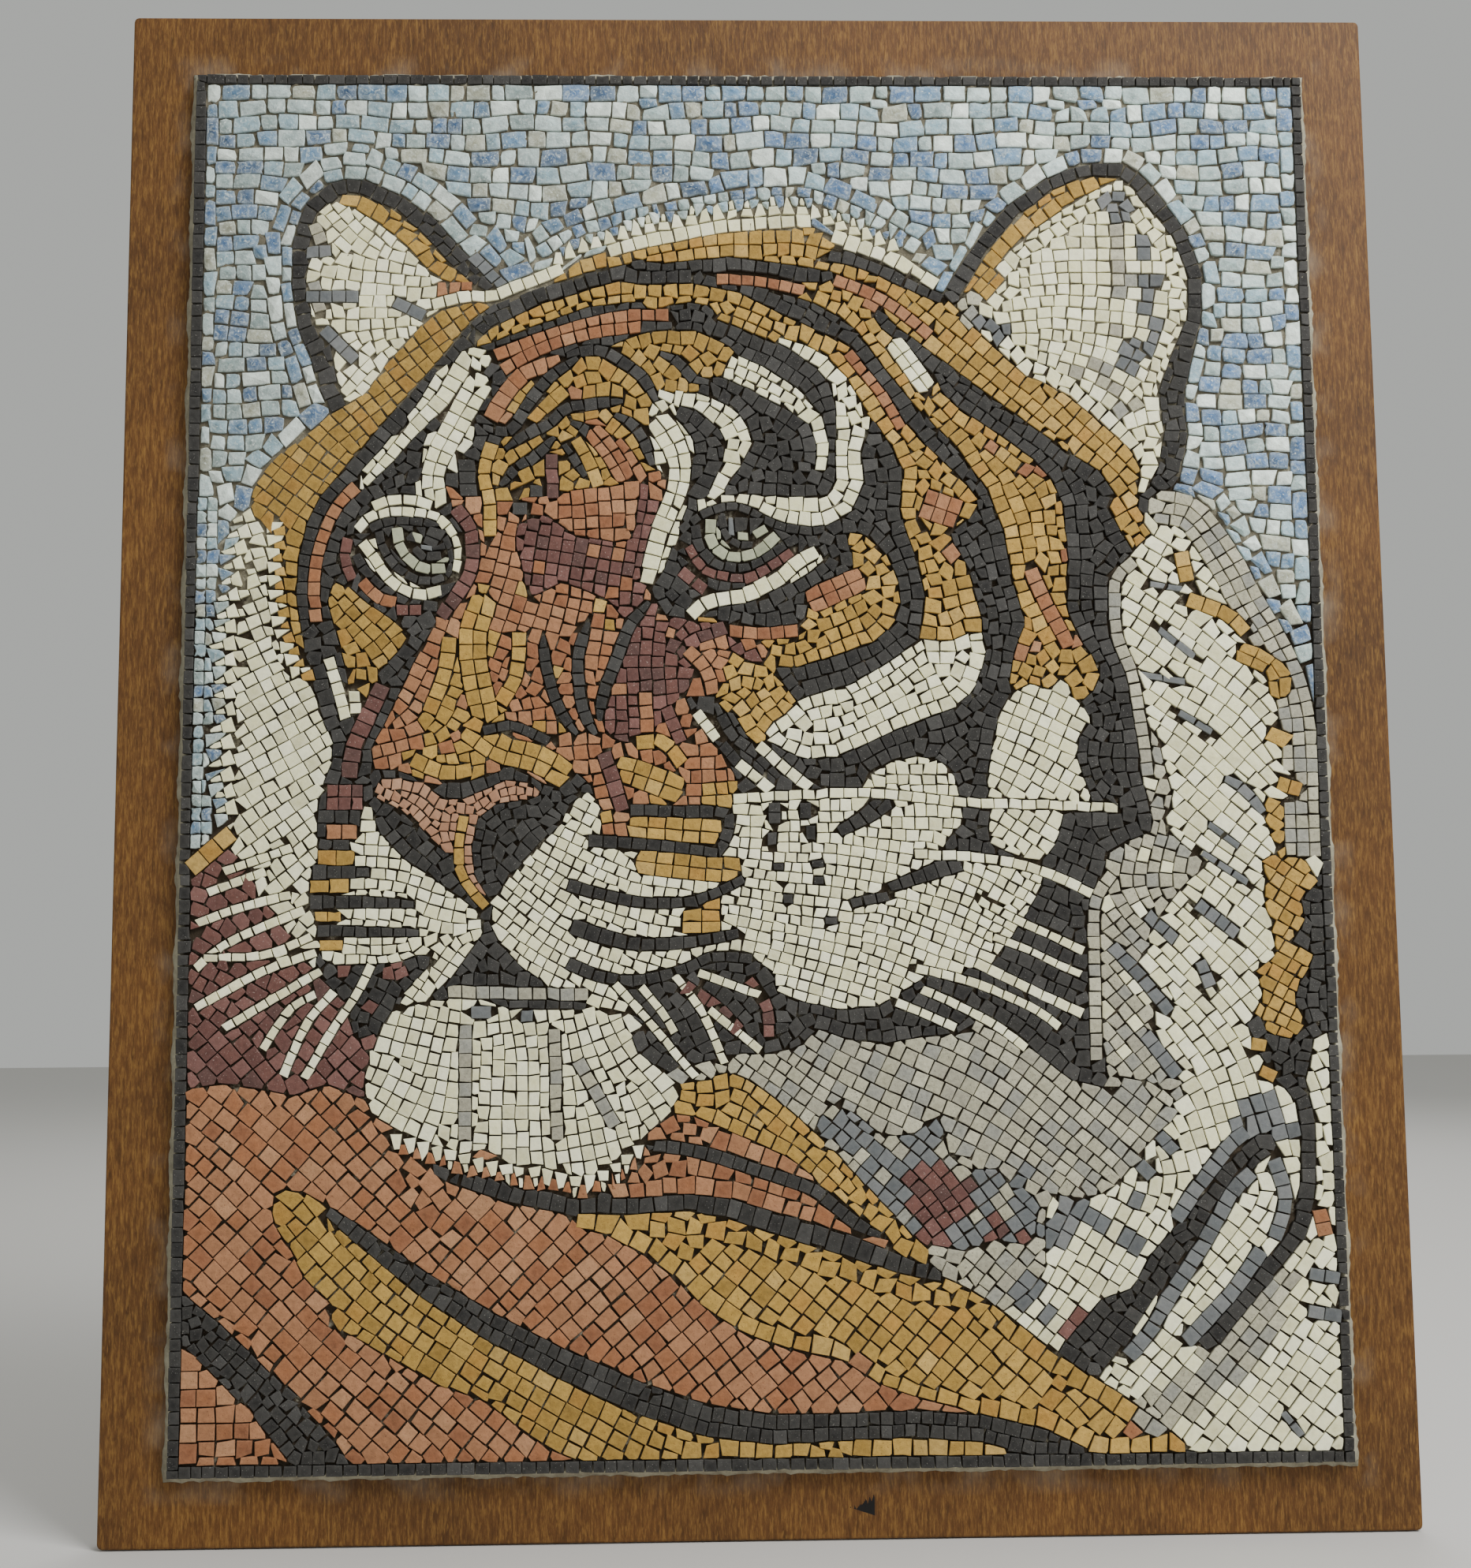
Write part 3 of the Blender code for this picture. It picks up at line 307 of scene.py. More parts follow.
        (3.6, (-7.5, 84), (-3, 83.5)), (3.6, (-1, 84), (4, 87)),
    )),
    (Stone.WINE, (
        (4, (-27, 80), (-21, 71), (-12, 67.5), (-3, 67.6), (6, 72), (14, 77.5)),
        (5, (-30, 70), (-20, 62)), (5, (-80.5, 117), (-80, 99)), (4.5, (-160, 83), (-161, 75), (-158, 67)),
        (4.5, (-141, 55), (-131, 54.5)), (5, (-36, 16), (-30, 2)), (6, (-60, -2), (-56, -14), (-53, -24)),
    )),
    (Stone.TERRACOTTA, (
        (8, (-64, 126), (-57, 117), (-52, 108)), (5, (-154, 66), (-148, 60), (-142, 58)),
        (5.5, (-44, 22), (-43, 6)), (6, (-27, 38), (-20, 30), (-18, 22)), (5, (-11, 46), (2, 45), (16, 46)),
        (10, (22, 58), (31, 62), (40, 66)),
    )),
    (Stone.OCHRE, (
        (5.4, (-104, 121), (-107, 110), (-105, 98), (-104.5, 84)), (6, (-93, 107), (-88, 109.5)),
        (5, (-71, 123), (-66, 114), (-62, 104)),
    )),
    (Stone.CREAM, (
        (5, (-128, 177.5), (-115, 181), (-104, 181.5), (-95, 185), (-86, 188.5), (-77, 192.5)),
        (5, (62, 193.5), (73, 186)), (8, (56, 161.5), (62, 153), (68, 144)),
        (5.5, (-58, 199.5), (-45, 203.5), (-30, 206.5), (-15, 209.5), (0, 211), (15, 212), (22, 212)),
        (6, (32, 206), (43, 202), (55, 197), (62, 193)),
        (4.6, (-154, 81), (-150, 76), (-146, 70), (-142, 65.5), (-136, 62), (-130, 61), (-124, 62.5)),
        (6, (-25, 53), (-20, 57), (-12, 59), (-5, 60), (2, 63), (9, 67), (16, 73), (23, 77)),
        ((9, 3), (-108, 155), (-114, 155), (-124, 139), (-136, 126), (-145.6, 114), (-154, 105)),
        ((11, 9), (-109, 146), (-114, 137), (-119, 127.5), (-124, 118), (-127, 108), (-126, 98)),
        ((11, 6), (-38, 130), (-32, 120), (-30, 110), (-32, 100), (-37, 88), (-41, 75), (-43, 66)),
        ((4.8, 3.2), (-156, 87), (-151, 92), (-143, 94), (-133, 93.5), (-125, 91.5), (-119, 85), (-117, 76),
         (-118, 70)), (4.4, (-150, 96), (-143, 98.5), (-135, 98.5), (-128, 96.5)),
        (4.5, (-167, 36), (-163, 23), (-160, 12)), (4.5, (-157, 23), (-156, 14)),
        (4.6, (0, 1), (10, -8), (20, -16)), (4.6, (-8, -6), (5, -17)), (4.4, (-24, 14), (-16, 3)),
        (4, (-10, -20), (40, -18), (80, -22), (110, -23), (140, -24.5)),
        (4, (60, -42), (80, -43), (100, -46), (115, -51), (129, -58)),
        (3.5, (85, -60), (100, -68), (115, -75), (125, -80)),
        (3.2, (90, -74), (105, -80), (115, -85), (124, -89)),
        (4, (83, -84), (95, -90), (105, -95), (124, -104)),
        (3.6, (60, -86), (80, -91), (95, -97), (107, -103), (115, -109)),
        (3.6, (52, -99), (62, -103), (75, -109)), (3.6, (62, -94), (75, -100), (90, -108), (102, -117)),
        (3.4, (-56, -91), (-45, -103), (-35, -115), (-25, -127)), (3.4, (-46, -92), (-38, -102), (-33, -110)),
        (3.4, (-33, -88), (-22, -103), (-14, -122)), (3.4, (-24, -87), (0, -96)),
        (3.4, (-20, -101), (0, -117)),
        (3.6, (-180, -38), (-206, -47)), (3.6, (-190, -47), (-212, -55)),
        (3.6, (-180, -56), (-200, -61), (-216, -67)),
        (3.6, (-175, -62), (-190, -68), (-205, -75), (-216, -84)),
        (3.4, (-172, -72), (-190, -79), (-213, -80)),
        (3.6, (-170, -78), (-190, -85), (-205, -93), (-216, -99)),
        (3.6, (-168, -85), (-185, -95), (-205, -107)), (3.4, (-170, -94), (-180, -100), (-190, -115)),
        (3.6, (-163, -93), (-172, -103), (-178, -115), (-182, -125)),
        (3.6, (-149, -83), (-155, -95), (-165, -110), (-174, -126)),
    )),
)

# Patches where another stone takes over without a change in the rows: (x, z, radius) of each
PATCHES: tuple = (
    (Stone.GREY, (
        (147, 207, 4), (146, 199, 4), (147, 190, 5), (146, 182, 4), (145, 168, 4), (138, 152, 5),
        (143, 143, 5), (148, 135, 5), (130, 150, 4), (88, 178, 5), (84, 172, 4), (150, -252, 9),
        (160, -245, 9), (172, -236, 9), (184, -228, 8), (191, -217, 7), (197, -207, 6))),
    (Stone.SLATE, (
        (146, 222, 5), (149, 215, 4), (156, 201, 5), (155, 189, 5), (161, 188, 4), (158, 178, 4),
        (160, 168, 5), (152, 158, 4), (158, 160, 4), (149, 151, 4), (98, 168, 4), (92, 170, 4),
        (190, -143, 9), (202, -149, 6), (120, -179, 6), (129, -183, 4), (140, -176, 4),
        (142, -188, 4), (110, -188, 6), (98, -208, 6), (108, -215, 5), (98, -164, 4), (84, -167, 5),
        (66, -150, 6), (58, -158, 5), (100, -176, 4), (84, -185, 3))),
    (Stone.WINE, (
        (63, -169, 9), (74, -174, 8), (65, -184, 6), (89, -184, 6), (98, -187, 4), (119, -224, 7))),
    (Stone.TERRACOTTA, ((-15, 37, 6), (-20, 28, 6))),
    (Stone.OCHRE, (
        (-14, -16, 5), (-21, -20, 4), (-108, 42, 8), (-120, 28, 7), (-124, 12, 9), (-106, 12, 9),
        (-128, -4, 8), (-112, -4, 8), (-98, 4, 6))),
)

# Fur that ends in single pointed tesserae: the stone of the points and the one between them,
# their width, length and lean, and where their row runs
FUR_TIPS: tuple = (
    (Stone.CREAM, Stone.SKY, 5.6, 7.0, 96, (
        (-78, 194), (-70, 198), (-58, 202.5), (-45, 206.5), (-30, 209.5), (-15, 212.5), (0, 214),
        (15, 215), (24, 214), (32, 209.5), (43, 205.5), (55, 200.5), (64, 195))),
    (Stone.CREAM, Stone.TERRACOTTA, 5.4, 7.5, -88, (
        (-139, -147), (-126, -151), (-112, -155), (-97, -159), (-84, -160), (-66, -164), (-52, -156),
        (-42, -147))),
    (Stone.CREAM, Stone.SKY, 6.4, 9.0, 197, (
        (-197, 93), (-201, 72), (-203, 50), (-203, 20), (-203, -10), (-200, -34))),
    (Stone.CREAM, Stone.OCHRE, 5.4, 7.0, 12, (
        (-192, 88), (-191, 70), (-190, 52), (-185, 38), (-178, 22))),
)


def linear(hex_colour: str) -> tuple[float, float, float, float]:
    """An sRGB hex colour as linear RGBA.

    Args:
        hex_colour: Six hex digits.

    Returns:
        The linear red, green and blue, and an alpha of 1.
    """
    channels = []
    for at in (0, 2, 4):
        value = int(hex_colour[at:at + 2], 16) / 255
        channels.append(value / 12.92 if value <= 0.04045 else ((value + 0.055) / 1.055) ** 2.4)
    return (*channels, 1.0)


def add_node(tree: bpy.types.NodeTree, kind: str, inputs: dict | None = None,
             **settings: object) -> bpy.types.Node:
    """Add a shader node with its settings, and fill or link its inputs.

    Args:
        tree: The node tree it goes into.
        kind: The node's type name.
        inputs: Input name or number to a value, or to the output socket that feeds it.
        settings: Properties of the node itself.

    Returns:
        The new node.
    """
    made = tree.nodes.new(kind)
    for name, value in settings.items():
        setattr(made, name, value)
    for socket, value in (inputs or {}).items():
        if isinstance(value, bpy.types.NodeSocket):
            tree.links.new(value, made.inputs[socket])
        else:
            made.inputs[socket].default_value = value
    return made


def set_stops(ramp: bpy.types.Node, stops: list, constant: bool = False) -> None:
    """Give a colour ramp its stops.

    Args:
        ramp: The colour ramp node.
        stops: (position, linear RGBA) from left to right.
        constant: Whether each colour holds up to the next stop.
    """
    ramp.color_ramp.interpolation = "CONSTANT" if constant else "LINEAR"
    elements = ramp.color_ramp.elements
    while len(elements) < len(stops):
        elements.new(1.0)
    for element, (position, colour) in zip(elements, stops):
        element.position = position
        element.color = colour


def new_material(name: str) -> tuple[bpy.types.Material, bpy.types.NodeTree, bpy.types.Node]:
    """A material with a Principled shader, its tree and that shader."""
    made = bpy.data.materials.new(name)
    made.use_nodes = True
    return made, made.node_tree, made.node_tree.nodes["Principled BSDF"]


def new_object(name: str, shape: bmesh.types.BMesh,
               material: bpy.types.Material) -> bpy.types.Object:
    """Put a finished shape in the scene.

    Args:
        name: The name of the object and its mesh.
        shape: The shape, which is freed.
        material: The material all over it.

    Returns:
        The object, at the origin.
    """
    mesh = bpy.data.meshes.new(name)
    shape.to_mesh(mesh)
    shape.free()
    mesh.materials.append(material)
    made = bpy.data.objects.new(name, mesh)
    bpy.context.scene.collection.objects.link(made)
    return made


@dataclass(frozen=True)
class StoneFinish:
    """A stone cut with a hammer on a chisel: matt, its faces split and not polished.

    Tones are (hex, share) of the tesserae. Mottling is the change of lightness inside one
    tessera, specks are grains of another colour, the rim is the bruised edge, and joint is the colour of the
    sides down in the joints: adhesive smears and painted shade.
    """

    name: str
    tones: tuple[tuple[str, float], ...]
    mottle: float
    mottle_mm: float
    speck: str
    speck_share: float
    speck_mm: float
    rim: str
    rim_share: float
    roughness: float
    grain_mm: float
    relief_mm: float
    spread: float = 0.1
    veins: float = 0.0
    gloss: float = 0.3
    # Sides down in the joints: adhesive smears and painted shade
    joint: str = "352c20"

    def material(self) -> bpy.types.Material:
        """The procedural material of this stone.

        Returns:
            A material that reads the attributes tone, shade and rim of the tesserae.
        """
        made, tree, shader = new_material(self.name)
        tone = add_node(tree, "ShaderNodeAttribute", attribute_name="tone").outputs["Fac"]
        shade = add_node(tree, "ShaderNodeAttribute", attribute_name="shade").outputs["Fac"]
        rim = add_node(tree, "ShaderNodeAttribute", attribute_name="rim").outputs["Fac"]
        place = add_node(tree, "ShaderNodeTexCoord").outputs["Object"]
        # Neighbours were cut from different rods, so each tessera takes its own part of the stone
        own = add_node(tree, "ShaderNodeCombineXYZ", {"X": tone, "Y": shade, "Z": tone})
        shift = add_node(tree, "ShaderNodeVectorMath", {0: own.outputs[0], "Scale": 0.9},
                         operation="SCALE")
        inside = add_node(tree, "ShaderNodeVectorMath", {0: place, 1: shift.outputs[0]},
                          operation="ADD").outputs[0]
        tones = add_node(tree, "ShaderNodeValToRGB", {"Fac": tone})
        start = 0.0
        stops = []
        whole = sum(share for _, share in self.tones)
        for colour, share in self.tones:
            stops.append((start, linear(colour)))
            start += share / whole
        set_stops(tones, stops, constant=True)
        mottling = add_node(tree, "ShaderNodeTexNoise", {
            "Vector": inside, "Scale": 1000 / self.mottle_mm, "Detail": 3.0, "Roughness": 0.6})
        light = add_node(tree, "ShaderNodeMapRange", {
            "Value": mottling.outputs["Fac"], "From Min": 0.3, "From Max": 0.7,
            "To Min": 1 - self.mottle, "To Max": 1 + self.mottle}).outputs[0]
        each = add_node(tree, "ShaderNodeMapRange", {
            "Value": shade, "To Min": 1 - self.spread, "To Max": 1 + self.spread}).outputs[0]
        value = add_node(tree, "ShaderNodeMath", {0: light, 1: each}, operation="MULTIPLY")
        colour = add_node(tree, "ShaderNodeHueSaturation", {
            "Color": tones.outputs["Color"], "Value": value.outputs[0]}).outputs["Color"]
        over = []
        if self.veins:
            veining = add_node(tree, "ShaderNodeTexNoise", {
                "Vector": inside, "Scale": 420.0, "Detail": 4.0, "Distortion": 1.6})
            vein = add_node(tree, "ShaderNodeMapRange", {
                "Value": veining.outputs["Fac"], "From Min": 0.5, "From Max": 0.72,
                "To Max": self.veins}).outputs[0]
            over.append((vein, self.rim))
        grains = add_node(tree, "ShaderNodeTexNoise", {
            "Vector": inside, "Scale": 1000 / self.speck_mm, "Detail": 1.0})
        low = 0.78 - 0.4 * self.speck_share
        speck = add_node(tree, "ShaderNodeMapRange", {
            "Value": grains.outputs["Fac"], "From Min": low, "From Max": low + 0.06,
            "To Max": 0.75}).outputs[0]
        over.append((speck, self.speck))
        worn = add_node(tree, "ShaderNodeMath", {0: rim, 1: mottling.outputs["Fac"]},
                        operation="MULTIPLY")
        edge = add_node(tree, "ShaderNodeMath", {0: worn.outputs[0], 1: 2 * self.rim_share},
                        operation="MULTIPLY", use_clamp=True)
        over.append((edge.outputs[0], self.rim))
        # Down in the joints the sides are painted dark: smears of adhesive and dust, and painted shade in the
        # joints
        depth = add_node(tree, "ShaderNodeSeparateXYZ", {0: place}).outputs["Y"]
        smear_and_joint_shade = add_node(tree, "ShaderNodeMapRange", {
            "Value": depth, "From Min": -0.0178, "From Max": -0.0167, "To Max": 0.8}).outputs[0]
        over.append((smear_and_joint_shade, self.joint))
        for cover, hex_colour in over:
            colour = add_node(tree, "ShaderNodeMix", {0: cover, 6: colour, 7: linear(hex_colour)},
                              data_type="RGBA").outputs[2]
        tree.links.new(colour, shader.inputs["Base Color"])
        shader.inputs["Roughness"].default_value = self.roughness
        shader.inputs["Specular IOR Level"].default_value = self.gloss
        grit = add_node(tree, "ShaderNodeTexNoise", {
            "Vector": inside, "Scale": 1000 / self.grain_mm, "Detail": 4.0, "Roughness": 0.65})
        bump = add_node(tree, "ShaderNodeBump", {
            "Height": grit.outputs["Fac"], "Strength": 1.0, "Distance": self.relief_mm * MM})
        tree.links.new(bump.outputs[0], shader.inputs["Normal"])
        return made


@dataclass(frozen=True)
class Split:
    """How the faces and edges of a stone break, in millimetres.

    An edge breaks by bevel across and drop in depth. A face bulges, and leans by tilt. Corners
    lose about chip, and a ragged stone breaks each long side once.
    """

    bevel: float = 0.17
    drop: float = 0.16
    bulge: float = 0.08
    tilt: float = 0.03
    chip: float = 0.14
    ragged: bool = False


CLEAN_SPLIT = Split()
RIVEN_SPLIT = Split(bevel=0.289, drop=0.32, bulge=0.45, tilt=0.045, chip=0.3, ragged=True)

# Basalt: nearly black, dusty on its edges. Limestone: bone white, even. Ochre and salmon
# marble: warm with darker pits. Sky marble: white to blue, riven, so that its edges are paler.
FINISHES: dict[Stone, StoneFinish] = {
    Stone.BLACK: StoneFinish(
        "split_basalt", (("302f2d", 4), ("393836", 3), ("282726", 2), ("434240", 1)),
        0.15, 2.0, "95938c", 0.2, 0.45, "5c5a56", 0.34, 0.8, 0.9, 0.22, 0.18, gloss=0.2),
    Stone.SKY: StoneFinish(
        "riven_blue_white_marble", (
            ("b4c6c3", 4), ("85a3ae", 4), ("587c9c", 3), ("38597f", 2), ("dae5db", 3),
            ("a4a58f", 2), ("486b94", 2), ("92a6a3", 4)),
        0.3, 3.6, "dfe6e0", 0.25, 0.9, "dbe3dc", 0.36, 0.6, 1.1, 0.4, 0.28, 0.5,
        joint="5e5642"),
    Stone.CREAM: StoneFinish(
        "split_cream_limestone", (("f2efc0", 5), ("e7e3b0", 3), ("faf8d2", 3), ("d6d2a4", 2)),
        0.09, 2.4, "a49c80", 0.08, 0.5, "f4f2de", 0.4, 0.7, 1.0, 0.18, 0.09, joint="3c3426"),
    Stone.GREY: StoneFinish(
        "split_grey_travertine", (("a6a28a", 4), ("999583", 3), ("b6b29a", 2), ("8b8b82", 3)),
        0.18, 1.6, "6f6c62", 0.34, 0.7, "c2bea8", 0.3, 0.7, 0.9, 0.22, 0.1),
    Stone.SLATE: StoneFinish(
        "split_grey_slate", (("686b6c", 4), ("5e6264", 3), ("747676", 2), ("545759", 1)),
        0.12, 2.0, "92928a", 0.14, 0.6, "888984", 0.3, 0.7, 0.9, 0.16, 0.12),
    Stone.IRIS: StoneFinish(
        "split_green_grey_marble", (("a4a88c", 2), ("94987e", 1)),
        0.1, 1.6, "c4c6b0", 0.1, 0.6, "c0c2a8", 0.3, 0.65, 0.9, 0.12, 0.08),
    Stone.OCHRE: StoneFinish(
        "split_ochre_marble", (
            ("a98741", 4), ("9e7e3c", 3), ("b3914a", 3), ("947536", 2), ("a47c3a", 2), ("ba9a58", 1)),
        0.2, 2.0, "6f4f1e", 0.3, 0.6, "c4a05a", 0.34, 0.8, 1.0, 0.26, 0.24),
    Stone.TERRACOTTA: StoneFinish(
        "split_salmon_stone", (
            ("976a4a", 4), ("92603f", 3), ("a17352", 3), ("845539", 2), ("a87e5c", 1)),
        0.18, 2.0, "6c4028", 0.3, 0.6, "b58463", 0.34, 0.8, 1.0, 0.26, 0.13),
    Stone.WINE: StoneFinish(
        "split_wine_marble", (("66433b", 4), ("5b3b35", 3), ("724f48", 2), ("503833", 2)),
        0.18, 1.8, "a8948a", 0.26, 0.6, "80605a", 0.3, 0.7, 0.9, 0.2, 0.14),
    Stone.PINK: StoneFinish(
        "split_pink_marble", (("a67d62", 3), ("9c7258", 2), ("b08a6e", 1)),
        0.1, 1.8, "865a42", 0.08, 0.5, "bb9272", 0.3, 0.7, 0.9, 0.14, 0.08),
}


@dataclass(frozen=True)
class AdhesiveFinish:
    """Cement tile adhesive: grey-beige, trowelled, dried rough, with loose dust on it."""

    name: str = "cement_tile_adhesive"
    pale: str = "aaa690"
    dark: str = "827d6a"
    # Painted shade in the joints, the adhesive itself being pale
    joint: str = "3a3022"
    crumb: str = "8f8a78"

    def material(self) -> bpy.types.Material:
        """The procedural material of the adhesive, painted dark where it lies in the joints, as painted shade
        in the joints.

        Returns:
            A material that reads the attribute bare, the share of its own colour free of the painted joint
            shade: 1 where the adhesive isn't in a joint.
        """
        made, tree, shader = new_material(self.name)
        place = add_node(tree, "ShaderNodeTexCoord").outputs["Object"]
        bare = add_node(tree, "ShaderNodeAttribute", attribute_name="bare").outputs["Fac"]
        patches = add_node(tree, "ShaderNodeTexNoise", {
            "Vector": place, "Scale": 140.0, "Detail": 4.0, "Roughness": 0.7})
        colours = add_node(tree, "ShaderNodeValToRGB", {"Fac": patches.outputs["Fac"]})
        set_stops(colours, [(0.35, linear(self.dark)), (0.65, linear(self.pale))])
        # In the joints the adhesive is painted dark brown as shade, with its own pale crumbs showing
        between = add_node(tree, "ShaderNodeValToRGB", {"Fac": patches.outputs["Fac"]})
        set_stops(between, [(0.56, linear(self.joint)), (0.68, linear(self.crumb))])
        mixed = add_node(tree, "ShaderNodeMix", {
            0: bare, 6: between.outputs["Color"], 7: colours.outputs["Color"]}, data_type="RGBA")
        tree.links.new(mixed.outputs[2], shader.inputs["Base Color"])
        shader.inputs["Roughness"].default_value = 0.95
        grit = add_node(tree, "ShaderNodeTexNoise", {"Vector": place, "Scale": 1400.0, "Detail": 3.0})
        bump = add_node(tree, "ShaderNodeBump", {
            "Height": grit.outputs["Fac"], "Strength": 1.0, "Distance": 0.0004})
        tree.links.new(bump.outputs[0], shader.inputs["Normal"])
        return made


@dataclass(frozen=True)
class BoardFinish:
    """Plywood with a stained veneer: upright grain with short golden flecks, blotchy, dull."""

    name: str = "stained_veneer_plywood"
    stain: str = "5f3d19"
    deep: str = "42290b"
    fleck: str = "8a6630"
    ply_pale: str = "a98a60"
    ply_dark: str = "6d5034"
    # Near black inside the chip: painted shade of a nick that the board's flat face doesn't have
    dust: str = "a79a86"
    core: str = "0d0b0a"
    # Left, lower right and upper right corner of the chip, in millimetres
    chip: tuple = ((33.4, -288.8), (41.5, -291.4), (41.5, -284.6))
    torn: float = 1.3

    def splinter(self, tree: bpy.types.NodeTree, x: bpy.types.NodeSocket,
                 z: bpy.types.NodeSocket) -> bpy.types.NodeSocket:
        """Where a splinter of veneer has come off, its upper edge torn along the grain.

        Args:
            tree: The board's node tree.
            x, z: The sockets of the place, in metres.

        Returns:
            A socket that is 1 inside the chip and 0 elsewhere.
        """
        (left, tip), (right, low), (_, high) = self.chip
        across = add_node(tree, "ShaderNodeCombineXYZ", {"X": x})
        strands = add_node(tree, "ShaderNodeTexNoise", {
            "Vector": across.outputs[0], "Scale": 700.0, "Detail": 2.0})
        ragged = add_node(tree, "ShaderNodeMapRange", {
            "Value": strands.outputs["Fac"], "From Min": 0.35, "From Max": 0.65,
            "To Min": -self.torn * MM, "To Max": self.torn * MM}).outputs[0]
        inside = add_node(tree, "ShaderNodeMath", {0: x, 1: right * MM}, operation="LESS_THAN")
        for end, side, shift in ((low, "GREATER_THAN", 0.0), (high, "LESS_THAN", ragged)):
            slope = (end - tip) / (right - left)
            line = add_node(tree, "ShaderNodeMath", {0: x, 1: slope, 2: (tip - slope * left) * MM},
                            operation="MULTIPLY_ADD")
            line = add_node(tree, "ShaderNodeMath", {0: line.outputs[0], 1: shift}, operation="ADD")
            beyond = add_node(tree, "ShaderNodeMath", {0: z, 1: line.outputs[0]}, operation=side)
            inside = add_node(tree, "ShaderNodeMath", {0: inside.outputs[0], 1: beyond.outputs[0]},
                              operation="MULTIPLY")
        return inside.outputs[0]

    def material(self, front: float, mosaic: tuple[float, float]) -> bpy.types.Material:
        """The procedural material of the board.

        Args:
            front: The y of the board's front face, in metres.
            mosaic: Half the width and height of the mosaic, in metres.

        Returns:
            A material with veneer on both faces and plies on the edges.
        """
        made, tree, shader = new_material(self.name)
        place = add_node(tree, "ShaderNodeTexCoord").outputs["Object"]
        along = add_node(tree, "ShaderNodeMapping", {"Vector": place, "Scale": (1.0, 1.0, 0.14)})
        grain = add_node(tree, "ShaderNodeTexNoise", {
            "Vector": along.outputs[0], "Scale": 900.0, "Detail": 6.0, "Roughness": 0.75})
        colour = add_node(tree, "ShaderNodeValToRGB", {"Fac": grain.outputs["Fac"]})
        set_stops(colour, [(0.3, linear(self.deep)), (0.5, linear(self.stain)),
                           (0.74, linear(self.fleck))])
        broad = add_node(tree, "ShaderNodeTexNoise", {
            "Vector": place, "Scale": 13.0, "Detail": 3.0, "Roughness": 0.55})
        blotch = add_node(tree, "ShaderNodeMapRange", {
            "Value": broad.outputs["Fac"], "From Min": 0.35, "From Max": 0.7,
            "To Min": 1.12, "To Max": 0.72}).outputs[0]
        stained = add_node(tree, "ShaderNodeHueSaturation", {
            "Color": colour.outputs["Color"], "Value": blotch}).outputs["Color"]
        # Short pores, a few millimetres long, catch the light as golden flecks
        short = add_node(tree, "ShaderNodeMapping", {"Vector": place, "Scale": (1.0, 1.0, 0.2)})
        pores = add_node(tree, "ShaderNodeTexNoise", {
            "Vector": short.outputs[0], "Scale": 1300.0, "Detail": 2.0})
        fleck = add_node(tree, "ShaderNodeMapRange", {
            "Value": pores.outputs["Fac"], "From Min": 0.55, "From Max": 0.7,
            "To Max": 0.5}).outputs[0]
        veneer = add_node(tree, "ShaderNodeMix", {
            0: fleck, 6: stained, 7: linear(self.fleck)}, data_type="RGBA").outputs[2]
        axes = add_node(tree, "ShaderNodeSeparateXYZ", {0: place})
        # Dust from the cutting lies in the angle between the adhesive and the board
        beyond = []
        for axis, half in zip("XZ", mosaic):
            away = add_node(tree, "ShaderNodeMath", {0: axes.outputs[axis]}, operation="ABSOLUTE")
            beyond.append(add_node(tree, "ShaderNodeMath", {0: away.outputs[0], 1: half},
                                   operation="SUBTRACT").outputs[0])
        off = add_node(tree, "ShaderNodeMath", {0: beyond[0], 1: beyond[1]}, operation="MAXIMUM")
        smear = add_node(tree, "ShaderNodeTexNoise", {"Vector": place, "Scale": 60.0, "Detail": 5.0})
        near = add_node(tree, "ShaderNodeMapRange", {
            "Value": off.outputs[0], "From Min": 0.002, "From Max": 0.010,
            "To Min": 1.0, "To Max": 0.0}).outputs[0]
        patchy = add_node(tree, "ShaderNodeMapRange", {
            "Value": smear.outputs["Fac"], "From Min": 0.48, "From Max": 0.75,
            "To Max": 0.3}).outputs[0]
        in_front = add_node(tree, "ShaderNodeMath", {
            0: axes.outputs["Y"], 1: front + 0.002}, operation="LESS_THAN")
        dusty = add_node(tree, "ShaderNodeMath", {0: near, 1: patchy}, operation="MULTIPLY")
        dusty = add_node(tree, "ShaderNodeMath", {0: dusty.outputs[0], 1: in_front.outputs[0]},
                         operation="MULTIPLY")
        face = add_node(tree, "ShaderNodeMix", {
            0: dusty.outputs[0], 6: veneer, 7: linear(self.dust)}, data_type="RGBA").outputs[2]
        # The chip is painted near black, as painted shade in the nick
        chipped = add_node(tree, "ShaderNodeMath", {
            0: self.splinter(tree, axes.outputs["X"], axes.outputs["Z"]), 1: in_front.outputs[0]},
            operation="MULTIPLY")
        face = add_node(tree, "ShaderNodeMix", {
            0: chipped.outputs[0], 6: face, 7: linear(self.core)}, data_type="RGBA").outputs[2]
